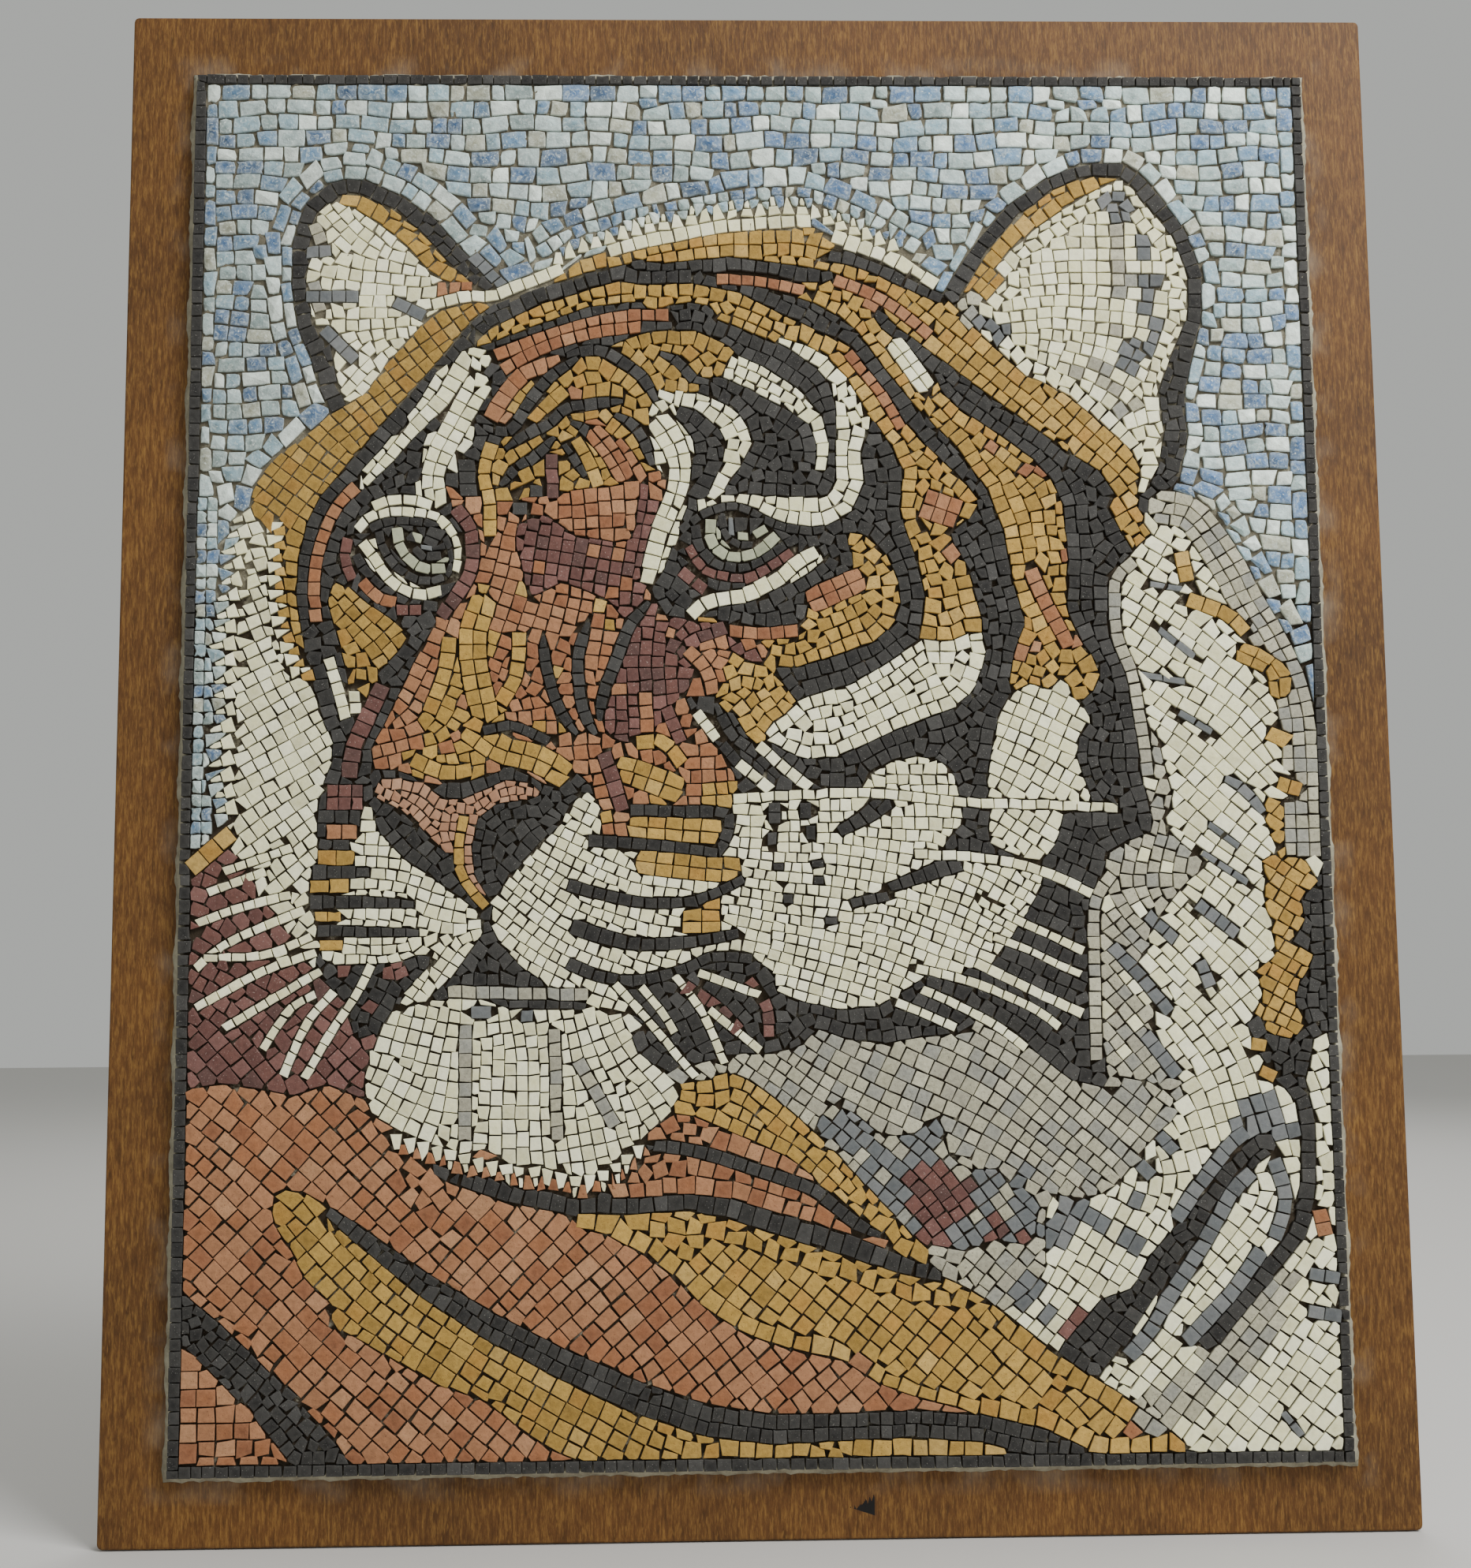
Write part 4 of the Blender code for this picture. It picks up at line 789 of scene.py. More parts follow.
        # Seven plies, each 1.7 mm, show on the edges
        plies = add_node(tree, "ShaderNodeMath", {0: axes.outputs["Y"], 1: 1000 / 3.4},
                         operation="MULTIPLY")
        ply = add_node(tree, "ShaderNodeMath", {0: plies.outputs[0]}, operation="FRACT")
        layer = add_node(tree, "ShaderNodeMath", {0: ply.outputs[0], 1: 0.5},
                         operation="GREATER_THAN")
        edge = add_node(tree, "ShaderNodeMix", {
            0: layer.outputs[0], 6: linear(self.ply_pale), 7: linear(self.ply_dark)},
            data_type="RGBA").outputs[2]
        edge_grain = add_node(tree, "ShaderNodeMix", {
            0: 0.55, 6: edge, 7: stained}, data_type="RGBA").outputs[2]
        depth = add_node(tree, "ShaderNodeMapRange", {
            "Value": axes.outputs["Y"], "From Min": front + 0.0006, "From Max": front + 0.001})
        back = add_node(tree, "ShaderNodeMapRange", {
            "Value": axes.outputs["Y"], "From Min": -0.001, "From Max": -0.0006,
            "To Min": 1.0, "To Max": 0.0})
        core = add_node(tree, "ShaderNodeMath", {0: depth.outputs[0], 1: back.outputs[0]},
                        operation="MULTIPLY")
        all_round = add_node(tree, "ShaderNodeMix", {
            0: core.outputs[0], 6: face, 7: edge_grain}, data_type="RGBA").outputs[2]
        tree.links.new(all_round, shader.inputs["Base Color"])
        shader.inputs["Roughness"].default_value = 0.6
        shader.inputs["Specular IOR Level"].default_value = 0.3
        bump = add_node(tree, "ShaderNodeBump", {
            "Height": grain.outputs["Fac"], "Strength": 1.0, "Distance": 0.0002})
        tree.links.new(bump.outputs[0], shader.inputs["Normal"])
        return made


@dataclass
class Ground:
    """The picture as a grid of small squares, each with the number of its area, in millimetres."""

    width: float
    height: float
    pitch: float = 0.5
    area: np.ndarray = field(init=False)

    def __post_init__(self) -> None:
        """Start with every square bare."""
        self.columns = round(self.width / self.pitch)
        self.rows = round(self.height / self.pitch)
        self.area = np.full((self.rows, self.columns), -1, np.int32)

    def cell(self, x: float, z: float) -> tuple[int, int] | None:
        """The square at a place.

        Args:
            x, z: The place.

        Returns:
            Its row and column, or None outside the picture.
        """
        column = int((x + self.width / 2) / self.pitch)
        row = int((z + self.height / 2) / self.pitch)
        if x < -self.width / 2 or z < -self.height / 2 or column >= self.columns or row >= self.rows:
            return None
        return row, column

    def places(self, rows: np.ndarray, columns: np.ndarray) -> tuple[np.ndarray, np.ndarray]:
        """The x and z of the middles of squares."""
        return ((columns + 0.5) * self.pitch - self.width / 2,
                (rows + 0.5) * self.pitch - self.height / 2)

    def shifted(self, down: int, across: int) -> tuple[tuple, tuple]:
        """The squares that have a neighbour so many squares off, and those neighbours."""
        return tuple((slice(max(z, 0), self.rows + min(z, 0)),
                      slice(max(x, 0), self.columns + min(x, 0)))
                     for z, x in ((down, across), (-down, -across)))

    def window(self, x0: float, x1: float, z0: float, z1: float) -> tuple:
        """The squares of a rectangle.

        Args:
            x0, x1: Its left and right edge.
            z0, z1: Its lower and upper edge.

        Returns:
            The row and column slices, and the x and z of the squares' middles, ready to combine.
        """
        first = max(0, int((x0 + self.width / 2) / self.pitch))
        last = min(self.columns, int((x1 + self.width / 2) / self.pitch) + 1)
        low = max(0, int((z0 + self.height / 2) / self.pitch))
        high = min(self.rows, int((z1 + self.height / 2) / self.pitch) + 1)
        x, z = self.places(np.arange(low, max(high, low)), np.arange(first, max(last, first)))
        return slice(low, max(high, low)), slice(first, max(last, first)), x[None, :], z[:, None]

    def fill_triangle(self, corners: list, number: int) -> None:
        """Give the squares inside a triangle to an area.

        Args:
            corners: The (x, z) corners.
            number: The area.
        """
        xs = [corner[0] for corner in corners]
        zs = [corner[1] for corner in corners]
        rows, columns, x, z = self.window(min(xs), max(xs), min(zs), max(zs))
        signs = []
        for at in range(3):
            ahead = (at + 1) % 3
            signs.append((xs[ahead] - xs[at]) * (z - zs[at]) - (zs[ahead] - zs[at]) * (x - xs[at]))
        inside = ((signs[0] >= 0) & (signs[1] >= 0) & (signs[2] >= 0)) | (
            (signs[0] <= 0) & (signs[1] <= 0) & (signs[2] <= 0))
        self.area[rows, columns][inside] = number

    def fill_stroke(self, points: list, widths: list, number: int) -> None:
        """Give the squares of a stroke to an area.

        Args:
            points: The (x, z) points of its middle line.
            widths: The width at each.
            number: The area.
        """
        for start, end, first, second in zip(points, points[1:], widths, widths[1:]):
            reach = max(first, second) / 2
            rows, columns, x, z = self.window(
                min(start[0], end[0]) - reach, max(start[0], end[0]) + reach,
                min(start[1], end[1]) - reach, max(start[1], end[1]) + reach)
            along = (end[0] - start[0], end[1] - start[1])
            length = math.hypot(*along) or 1.0
            run = ((x - start[0]) * along[0] + (z - start[1]) * along[1]) / length ** 2
            share = np.clip(run, 0, 1)
            away = np.hypot(x - start[0] - share * along[0], z - start[1] - share * along[1])
            inside = away <= (first + (second - first) * share) / 2
            # The two ends of the stroke are cut square
            if start == points[0]:
                inside &= run >= 0
            if end == points[-1]:
                inside &= run <= 1
            self.area[rows, columns][inside] = number

    def close_gaps(self, passes: int, below: float = math.inf) -> None:
        """Let areas grow over the bare squares beside them.

        Args:
            passes: How many squares far they grow.
            below: Only areas with a lower number than this grow.
        """
        for _ in range(passes):
            for down, across in ((0, 1), (0, -1), (1, 0), (-1, 0)):
                here, there = (self.area[squares] for squares in self.shifted(down, across))
                bare = (here < 0) & (there >= 0) & (there < below)
                here[bare] = there[bare]

    def edge_vectors(self) -> tuple[np.ndarray, np.ndarray]:
        """The way from each square to the nearest edge of its area, by jump flooding.

        Returns:
            The x and z parts of that way, in squares.
        """
        edge = np.zeros(self.area.shape, bool)
        across = self.area[:, 1:] != self.area[:, :-1]
        edge[:, 1:] |= across
        edge[:, :-1] |= across
        down = self.area[1:, :] != self.area[:-1, :]
        edge[1:, :] |= down
        edge[:-1, :] |= down
        edge[0, :] = edge[-1, :] = edge[:, 0] = edge[:, -1] = True
        column = np.broadcast_to(np.arange(self.columns, dtype=np.float32), edge.shape)
        row = np.broadcast_to(np.arange(self.rows, dtype=np.float32)[:, None], edge.shape)
        far_off = np.float32(-9999)
        near_x = np.where(edge, column, far_off)
        near_z = np.where(edge, row, far_off)
        away = (near_x - column) ** 2 + (near_z - row) ** 2
        for step in (128, 64, 32, 16, 8, 4, 2, 1, 1):
            for dz in (-step, 0, step):
                for dx in (-step, 0, step):
                    if dx == 0 and dz == 0:
                        continue
                    here, there = self.shifted(dz, dx)
                    other_x = near_x[there]
                    other_z = near_z[there]
                    other = (other_x - column[here]) ** 2 + (other_z - row[here]) ** 2
                    closer = other < away[here]
                    near_x[here] = np.where(closer, other_x, near_x[here])
                    near_z[here] = np.where(closer, other_z, near_z[here])
                    away[here] = np.where(closer, other, away[here])
        return near_x - column, near_z - row


@dataclass
class Tessera:
    """One tessera: its middle, the direction of its row and its size, in millimetres."""

    x: float
    z: float
    angle: float
    length: float
    width: float
    area: int
    outline: list = field(default_factory=list)


@dataclass
class Setter:
    """Lays tesserae over the ground as a mosaicist does: drawn lines first, then row by row.

    Middles keep apart by room, a share of the length and of the width. The first row of an area
    has its middle within edge_band of half a width from the edge, and others start deeper than
    margin widths. A tessera takes squares up to reach half sizes from its middle, and a spot
    farther than bare from all is bare. Where at least fill of a face is bare, a small tessera
    goes in. Each round moves the tesserae by a share of their way to the middle of their
    squares, and drops those below a share of the usual size. Own sides keep within skew
    radians of square, and draws are how far lines are drawn in, of a tessera and of an area.
    """

    ground: Ground
    lays: list
    seed: int = 7
    room: tuple = (0.74, 0.78)
    edge_band: float = 0.3
    margin: float = 0.3
    start_margin: float = 0.34
    longest_row: int = 300
    reach: float = 1.7
    bare: float = 1.25
    nearly_bare: float = 1.15
    fill: float = 0.36
    small: float = 0.85
    rounds: tuple = ((0.7, 0.46), (0.6, 0.42))
    stroke_row: float = 5.2
    shortest_side: float = 0.45
    least_face: float = 2.6
    skew: float = 0.3
    draws: tuple = (0.36, 0.45)
    fixed_rows: set = field(default_factory=set)
    laid: list = field(default_factory=list)

    def __post_init__(self) -> None:
        """Work out how deep each square lies in its area and the direction of the edge there."""
        self.chance = np.random.default_rng(self.seed)
        self.taken = np.zeros(self.ground.area.shape, bool)
        self.owner = np.full(self.ground.area.shape, -1, np.int32)
        way_x, way_z = self.ground.edge_vectors()
        self.depth = np.hypot(way_x, way_z) * self.ground.pitch
        turn = np.arctan2(way_z, way_x) + math.pi / 2
        weight = np.minimum(self.depth, 4.0)
        cosine = np.cos(2 * turn) * weight
        sine = np.sin(2 * turn) * weight
        area = self.ground.area
        # Smooth the directions within each area, so that rows turn gently
        for _ in range(10):
            total_c = cosine.copy()
            total_s = sine.copy()
            for first, second in (self.ground.shifted(1, 0), self.ground.shifted(0, 1)):
                same = area[first] == area[second]
                total_c[first] += np.where(same, cosine[second], 0)
                total_c[second] += np.where(same, cosine[first], 0)
                total_s[first] += np.where(same, sine[second], 0)
                total_s[second] += np.where(same, sine[first], 0)
            cosine = total_c / 5
            sine = total_s / 5
        self.turn = np.arctan2(sine, cosine) / 2

    def direction(self, x: float, z: float, number: int, edge_row: bool = False) -> float:
        """The direction of the rows at a place.

        Args:
            x, z: The place.
            number: The area.
            edge_row: Whether the row there follows the edge whatever the guides say.

        Returns:
            The angle from +X towards +Z, in radians.
        """
        lay = self.lays[number]
        if lay.guides and not edge_row:
            cosine = sine = 0.0
            for guide_x, guide_z, degrees in lay.guides:
                weight = 1 / ((x - guide_x) ** 2 + (z - guide_z) ** 2 + 30) ** 1.5
                cosine += weight * math.cos(2 * math.radians(degrees))
                sine += weight * math.sin(2 * math.radians(degrees))
            # No row runs quite true
            wander = math.sin(x * 0.07 + z * 0.11) + math.sin(x * 0.19 - z * 0.05 + 2)
            return math.atan2(sine, cosine) / 2 + wander * lay.wander
        cell = self.ground.cell(x, z)
        return float(self.turn[cell]) if cell else 0.0

    def free(self, x: float, z: float, number: int) -> bool:
        """Whether a tessera of an area may have its middle there."""
        cell = self.ground.cell(x, z)
        return bool(cell) and self.ground.area[cell] == number and not self.taken[cell]

    def put(self, x: float, z: float, angle: float, length: float, width: float,
            number: int) -> Tessera:
        """Lay one tessera and mark the ground that no other middle may use.

        Args:
            x, z: Its middle.
            angle: The direction of its row, in radians.
            length, width: Its size along and across the row.
            number: Its area.

        Returns:
            The tessera.
        """
        made = Tessera(x, z, angle, length, width, number)
        self.laid.append(made)
        reach = 0.8 * math.hypot(length, width)
        rows, columns, px, pz = self.ground.window(x - reach, x + reach, z - reach, z + reach)
        along, across = along_across(px - x, pz - z, math.cos(angle), math.sin(angle))
        near = (np.abs(along) < self.room[0] * length) & (np.abs(across) < self.room[1] * width)
        self.taken[rows, columns] |= near & (self.ground.area[rows, columns] == number)
        return made

    def lay_row(self, x: float, z: float, number: int, edge_row: bool, waiting: deque) -> None:
        """Lay a row both ways from a place, and note where the rows beside it could start.

        Args:
            x, z: The middle of the row's first tessera.
            number: The area.
            edge_row: Whether the row follows the edge.
            waiting: Receives the starts of neighbouring rows.
        """
        lay = self.lays[number]
        first_length = lay.length * self.chance.uniform(1 - lay.vary, 1 + lay.vary)
        start_angle = self.direction(x, z, number, edge_row)
        self.put(x, z, start_angle, first_length, lay.width, number)
        for sign in (1, -1):
            here_x, here_z, length = x, z, first_length
            heading = (math.cos(start_angle) * sign, math.sin(start_angle) * sign)
            for side in (1, -1):
                waiting.append((x - heading[1] * side * lay.width, z + heading[0] * side * lay.width))
            for _ in range(self.longest_row):
                ahead = lay.length * self.chance.uniform(1 - lay.vary, 1 + lay.vary)
                placed = False
                for shrink in (1.0, 0.7):
                    step = (length + ahead * shrink) / 2
                    middle = (here_x + heading[0] * step / 2, here_z + heading[1] * step / 2)
                    angle = self.direction(*middle, number, edge_row)
                    way = (math.cos(angle), math.sin(angle))
                    if way[0] * heading[0] + way[1] * heading[1] < 0:
                        way = (-way[0], -way[1])
                    next_x = here_x + way[0] * step
                    next_z = here_z + way[1] * step
                    if self.free(next_x, next_z, number):
                        placed = True
                        ahead *= shrink
                        break
                if not placed:
                    break
                angle = self.direction(next_x, next_z, number, edge_row)
                self.put(next_x, next_z, angle, ahead, lay.width, number)
                for side in (1, -1):
                    waiting.append((next_x - way[1] * side * lay.width,
                                    next_z + way[0] * side * lay.width))
                here_x, here_z, length, heading = next_x, next_z, ahead, way

    def lay_area(self, number: int) -> None:
        """Lay all the rows of one area.

        Args:
            number: The area.
        """
        lay = self.lays[number]
        rows, columns = np.nonzero(self.ground.area == number)
        if not len(rows):
            return
        xs, zs = self.ground.places(rows, columns)
        depths = self.depth[rows, columns]
        if lay.edge_row or not lay.guides:
            band = np.flatnonzero(np.abs(depths - lay.width / 2) < self.edge_band)
            ignored: deque = deque()
            for at in band[::3]:
                if self.free(xs[at], zs[at], number):
                    self.lay_row(xs[at], zs[at], number, True, ignored)
        waiting: deque = deque()
        follow_edge = not lay.guides
        if follow_edge:
            for tessera in [made for made in self.laid if made.area == number]:
                for side in (1, -1):
                    waiting.append((tessera.x - math.sin(tessera.angle) * side * lay.width,
                                    tessera.z + math.cos(tessera.angle) * side * lay.width))
        order = self.chance.permutation(np.flatnonzero(depths > self.start_margin * lay.width))
        least = self.margin * lay.width
        for at in order[::2]:
            while waiting:
                x, z = waiting.popleft()
                if self.free(x, z, number) and self.depth[self.ground.cell(x, z)] > least:
                    self.lay_row(x, z, number, follow_edge, waiting)
            if self.free(xs[at], zs[at], number):
                self.lay_row(xs[at], zs[at], number, follow_edge, waiting)

    def share_out(self) -> None:
        """Give every square to the tessera of its own area that is nearest in its own shape."""
        best = np.full(self.owner.shape, self.reach, np.float32)
        self.owner[:] = -1
        for index, made in enumerate(self.laid):
            self.claim(index, made, best)
        self.best = best

    def claim(self, index: int, made: Tessera, best: np.ndarray) -> None:
        """Let one tessera take the squares that it is nearest to.

        Args:
            index: Its number.
            made: The tessera.
            best: How far each square is from the nearest tessera so far, in half sizes.
        """
        reach = 0.9 * math.hypot(made.length, made.width)
        rows, columns, x, z = self.ground.window(
            made.x - reach, made.x + reach, made.z - reach, made.z + reach)
        along, across = along_across(
            x - made.x, z - made.z, math.cos(made.angle), math.sin(made.angle))
        along = np.abs(along) / (made.length / 2)
        across = np.abs(across) / (made.width / 2)
        # Nearly the distance in a square, with a little more towards the corners
        away = np.maximum(along, across) + 0.08 * np.minimum(along, across)
        closer = (away < best[rows, columns]) & (self.ground.area[rows, columns] == made.area)
        best[rows, columns][closer] = away[closer]
        self.owner[rows, columns][closer] = index

    def fill_bare(self) -> None:
        """Lay a tessera wherever a good part of one still fits."""
        rows, columns = np.nonzero((self.best > self.bare) & (self.ground.area >= 0))
        order = self.chance.permutation(len(rows))
        for at in order:
            row, column = rows[at], columns[at]
            if self.best[row, column] <= self.bare:
                continue
            number = self.ground.area[row, column]
            lay = self.lays[number]
            x, z = self.ground.places(row, column)
            reach = lay.length * 0.6
            near = self.ground.window(x - reach, x + reach, z - reach, z + reach)
            here, px, pz = near[:2], near[2], near[3]
            bare = (self.best[here] > self.nearly_bare) & (self.ground.area[here] == number)
            count = bare.sum()
            if count * self.ground.pitch ** 2 < self.fill * lay.length * lay.width:
                continue
            weight_x = (px * bare).sum() / count
            weight_z = (pz * bare).sum() / count
            cell = self.ground.cell(weight_x, weight_z)
            if cell is None or self.ground.area[cell] != number:
                weight_x, weight_z = x, z
            angle = self.direction(weight_x, weight_z, number, not lay.guides)
            made = Tessera(weight_x, weight_z, angle, lay.length * self.small,
                           lay.width * self.small, number)
            self.laid.append(made)
            self.claim(len(self.laid) - 1, made, self.best)

    def settle(self, share: float) -> None:
        """Move each tessera towards the middle of its squares.

        Args:
            share: The share of the way that it moves.
        """
        count, middle_x, middle_z = self.middles()
        for index, made in enumerate(self.laid):
            if not count[index]:
                continue
            move_x = (middle_x[index] - made.x) * share
            move_z = (middle_z[index] - made.z) * share
            cosine, sine = math.cos(made.angle), math.sin(made.angle)
            along, across = along_across(move_x, move_z, cosine, sine)
            # Across its row it moves less, so that the row stays true
            across *= 0.25 if made.area in self.fixed_rows else 0.6
            made.x += along * cosine - across * sine
            made.z += along * sine + across * cosine

    def middles(self) -> tuple[np.ndarray, np.ndarray, np.ndarray]:
        """The squares of each tessera.

        Returns:
            How many squares each has, and the x and z of their middle.
        """
        rows, columns = np.nonzero(self.owner >= 0)
        owners = self.owner[rows, columns]
        total = len(self.laid)
        count = np.bincount(owners, minlength=total)
        safe = np.maximum(count, 1)
        x = np.bincount(owners, (columns + 0.5) * self.ground.pitch, total) / safe
        z = np.bincount(owners, (rows + 0.5) * self.ground.pitch, total) / safe
        return count, x - self.ground.width / 2, z - self.ground.height / 2

    def drop_small(self, least: float) -> None:
        """Take away tesserae that are too small, and leave their place to their neighbours.

        Args:
            least: The smallest face, as a share of the area's usual one.
        """
        count, _, _ = self.middles()
        usual = np.array([min(self.lays[made.area].length * self.lays[made.area].width,
                              made.length * made.width * 1.3) for made in self.laid])
        small = count * self.ground.pitch ** 2 < least * usual
        lost = (self.owner >= 0) & small[np.maximum(self.owner, 0)]
        self.ground.area[lost] = -1
        # The tesserae of the areas take the place, so that the drawn strokes stay crisp
        self.ground.close_gaps(8, len(LAYS))
        self.ground.close_gaps(8)
        self.laid = [made for index, made in enumerate(self.laid) if not small[index]]

    def lay_all(self, strokes: list) -> None:
        """Lay the strokes and then the areas, and settle them against each other.

        Args:
            strokes: (number, points, widths) of each drawn stroke.
        """
        for number, points, widths in strokes:
            self.lay_stroke(number, points, widths)
        for number in range(len(self.lays)):
            if number not in {stroke[0] for stroke in strokes}:
                self.lay_area(number)
        LOG.info("%d tesserae in rows", len(self.laid))
        self.share_out()
        self.fill_bare()
        for share, least in self.rounds:
            self.settle(share)
            self.share_out()
            self.drop_small(least)
            self.share_out()

    def lay_stroke(self, number: int, points: list, widths: list) -> None:
        """Lay the rows of a drawn stroke, evenly along it.

        Args:
            number: The stroke's area.
            points: The (x, z) points of its middle line.
            widths: The width at each.
        """
        steps = [math.dist(a, b) for a, b in zip(points, points[1:])]
        whole = sum(steps)
        count = max(1, round(whole / self.lays[number].length))
        reached = 0.0
        at = 0
        for index in range(count):
            goal = (index + 0.5) / count * whole
            while at < len(steps) - 1 and reached + steps[at] < goal:
                reached += steps[at]
                at += 1
            share = (goal - reached) / (steps[at] or 1)
            start, end = points[at], points[at + 1]
            x, z = part_way(start, end, share)
            width = widths[at] + (widths[at + 1] - widths[at]) * share
            angle = math.atan2(end[1] - start[1], end[0] - start[0])
            rows = max(1, round(width / self.stroke_row))
            for row in range(rows):
                off = ((row + 0.5) / rows - 0.5) * width
                self.put(x - math.sin(angle) * off, z + math.cos(angle) * off, angle,
                         whole / count, width / rows, number)

    def cut_outlines(self) -> None:
        """Cut each tessera to a few straight sides along its neighbours, less half a joint."""
        planes = self.side_lines()
        rows, columns = np.nonzero(self.owner >= 0)
        owners = self.owner[rows, columns]
        order = np.argsort(owners, kind="stable")
        owners = owners[order]
        xs, zs = self.ground.places(rows[order], columns[order])
        starts = np.flatnonzero(np.r_[True, owners[1:] != owners[:-1]])
        angle = np.array([made.angle for made in self.laid])[owners]
        limits = [reduce.reduceat(value, starts)
                  for value in along_across(xs, zs, np.cos(angle), np.sin(angle))
                  for reduce in (np.minimum, np.maximum)]
        for at, index in enumerate(owners[starts]):
            made = self.laid[index]
            joint = self.lays[made.area].joint * self.chance.uniform(0.2, 0.9)
            cosine, sine = math.cos(made.angle), math.sin(made.angle)
            low_u, high_u, low_v, high_v = (limit[at] for limit in limits)
            trim = joint / 2 - self.ground.pitch / 2
            box = ((low_u + trim, low_v + trim), (high_u - trim, low_v + trim),
                   (high_u - trim, high_v - trim), (low_u + trim, high_v - trim))
            outline = [(u * cosine - v * sine, u * sine + v * cosine) for u, v in box]
            for normal_x, normal_z, offset in planes.get(index, ()):
                outline = clip(outline, normal_x, normal_z, offset - joint / 2)
                if len(outline) < 3:
                    break
            made.outline = tidy_outline(outline, self.shortest_side)
        self.laid = [made for made in self.laid
                     if len(made.outline) >= 3 and abs(outline_area(made.outline)) > self.least_face]

    def joint_points(self) -> tuple[np.ndarray, np.ndarray, np.ndarray, np.ndarray]:
        """The sides of squares where a tessera meets another one or bare ground.

        Returns:
            The tessera, the one beyond or -1, and the x and z of the side's middle.
        """
        pitch = self.ground.pitch
        padded = np.pad(self.owner, 1, constant_values=-1)
        half_w, half_h = self.ground.width / 2, self.ground.height / 2
        rows, columns = np.nonzero(padded[:, 1:] != padded[:, :-1])
        first, second = padded[rows, columns], padded[rows, columns + 1]
        x = columns * pitch - half_w
        z = (rows - 0.5) * pitch - half_h
        rows_2, columns_2 = np.nonzero(padded[1:, :] != padded[:-1, :])
        first_2, second_2 = padded[rows_2, columns_2], padded[rows_2 + 1, columns_2]
        x = np.r_[x, (columns_2 - 0.5) * pitch - half_w]
        z = np.r_[z, rows_2 * pitch - half_h]
        first, second = np.r_[first, first_2], np.r_[second, second_2]
        one = np.r_[first, second]
        other = np.r_[second, first]
        x, z = np.r_[x, x], np.r_[z, z]
        keep = one >= 0
        return one[keep], other[keep], x[keep], z[keep]

    def side_lines(self) -> dict[int, list]:
        """A straight line along each side of each tessera, and along each edge of its area.

        Returns:
            Tessera number to (normal x, normal z, offset) of its sides.
        """
        one, other, x, z = self.joint_points()
        _, middle_x, middle_z = self.middles()
        angle = np.array([made.angle for made in self.laid])
        area = np.array([made.area for made in self.laid])
        along, across = along_across(x - middle_x[one], z - middle_z[one],
                                     np.cos(angle[one]), np.sin(angle[one]))
        reach_along = np.ones(len(angle))
        reach_across = np.ones(len(angle))
        np.maximum.at(reach_along, one, np.abs(along))
        np.maximum.at(reach_across, one, np.abs(across))
        on_end = np.abs(along) / reach_along[one] > np.abs(across) / reach_across[one]
        side = np.where(on_end, np.where(along > 0, 0, 2), np.where(across > 0, 1, 3))
        foreign = (other < 0) | (area[np.maximum(other, 0)] != area[one])
        # Eight sides for each tessera: four to its own area and four to others
        key = one.astype(np.int64) * 8 + side + 4 * foreign
        order = np.argsort(key, kind="stable")
        key, one, x, z = key[order], one[order], x[order], z[order]
        starts = np.flatnonzero(np.r_[True, key[1:] != key[:-1]])
        count = np.diff(np.r_[starts, len(key)])
        # Each side leans as its points spread most
        mean_x = np.add.reduceat(x, starts) / count
        mean_z = np.add.reduceat(z, starts) / count
        wide = np.add.reduceat(x * x, starts) / count - mean_x ** 2
        high = np.add.reduceat(z * z, starts) / count - mean_z ** 2
        mixed = np.add.reduceat(x * z, starts) / count - mean_x * mean_z
        lean = 0.5 * np.arctan2(2 * mixed, wide - high)
        here = one[starts]
        squared = angle[here] + np.where(key[starts] % 2 == 0, math.pi / 2, 0)
        turned = (lean - squared + math.pi / 2) % math.pi - math.pi / 2
        own = key[starts] % 8 < 4
        turned = np.where(own, np.clip(turned, -self.skew, self.skew), turned)
        few = count < 5
        turned = np.where(few, 0.0, turned)
        normal_x, normal_z = -np.sin(squared + turned), np.cos(squared + turned)
        out_x, out_z = mean_x - middle_x[here], mean_z - middle_z[here]
        corner = ~own & few
        size = np.maximum(np.hypot(out_x, out_z), 0.01)
        normal_x = np.where(corner, out_x / size, normal_x)
        normal_z = np.where(corner, out_z / size, normal_z)
        flip = np.where(normal_x * out_x + normal_z * out_z < 0, -1, 1)
        normal_x, normal_z = normal_x * flip, normal_z * flip
        # The line lies a little inside the ragged border, which leaves a wedge-shaped joint
        group = np.repeat(np.arange(len(starts)), count)
        reach = normal_x[group] * x + normal_z[group] * z
        ranked = reach[np.lexsort((reach, group))]
        offset = ranked[starts + np.floor(count * np.where(own, *self.draws)).astype(int)]
        found: dict[int, list] = {}
        for at, index in enumerate(here):
            found.setdefault(int(index), []).append((normal_x[at], normal_z[at], offset[at]))
        return found


def part_way(start: tuple, end: tuple, share: float) -> tuple[float, float]:
    """The point at a share of the way from start to end."""
    return start[0] + (end[0] - start[0]) * share, start[1] + (end[1] - start[1]) * share


def along_across(x: np.ndarray, z: np.ndarray, cosine: np.ndarray, sine: np.ndarray) -> tuple:
    """The parts of a way along and across a row, which runs at that cosine and sine."""
    return x * cosine + z * sine, z * cosine - x * sine


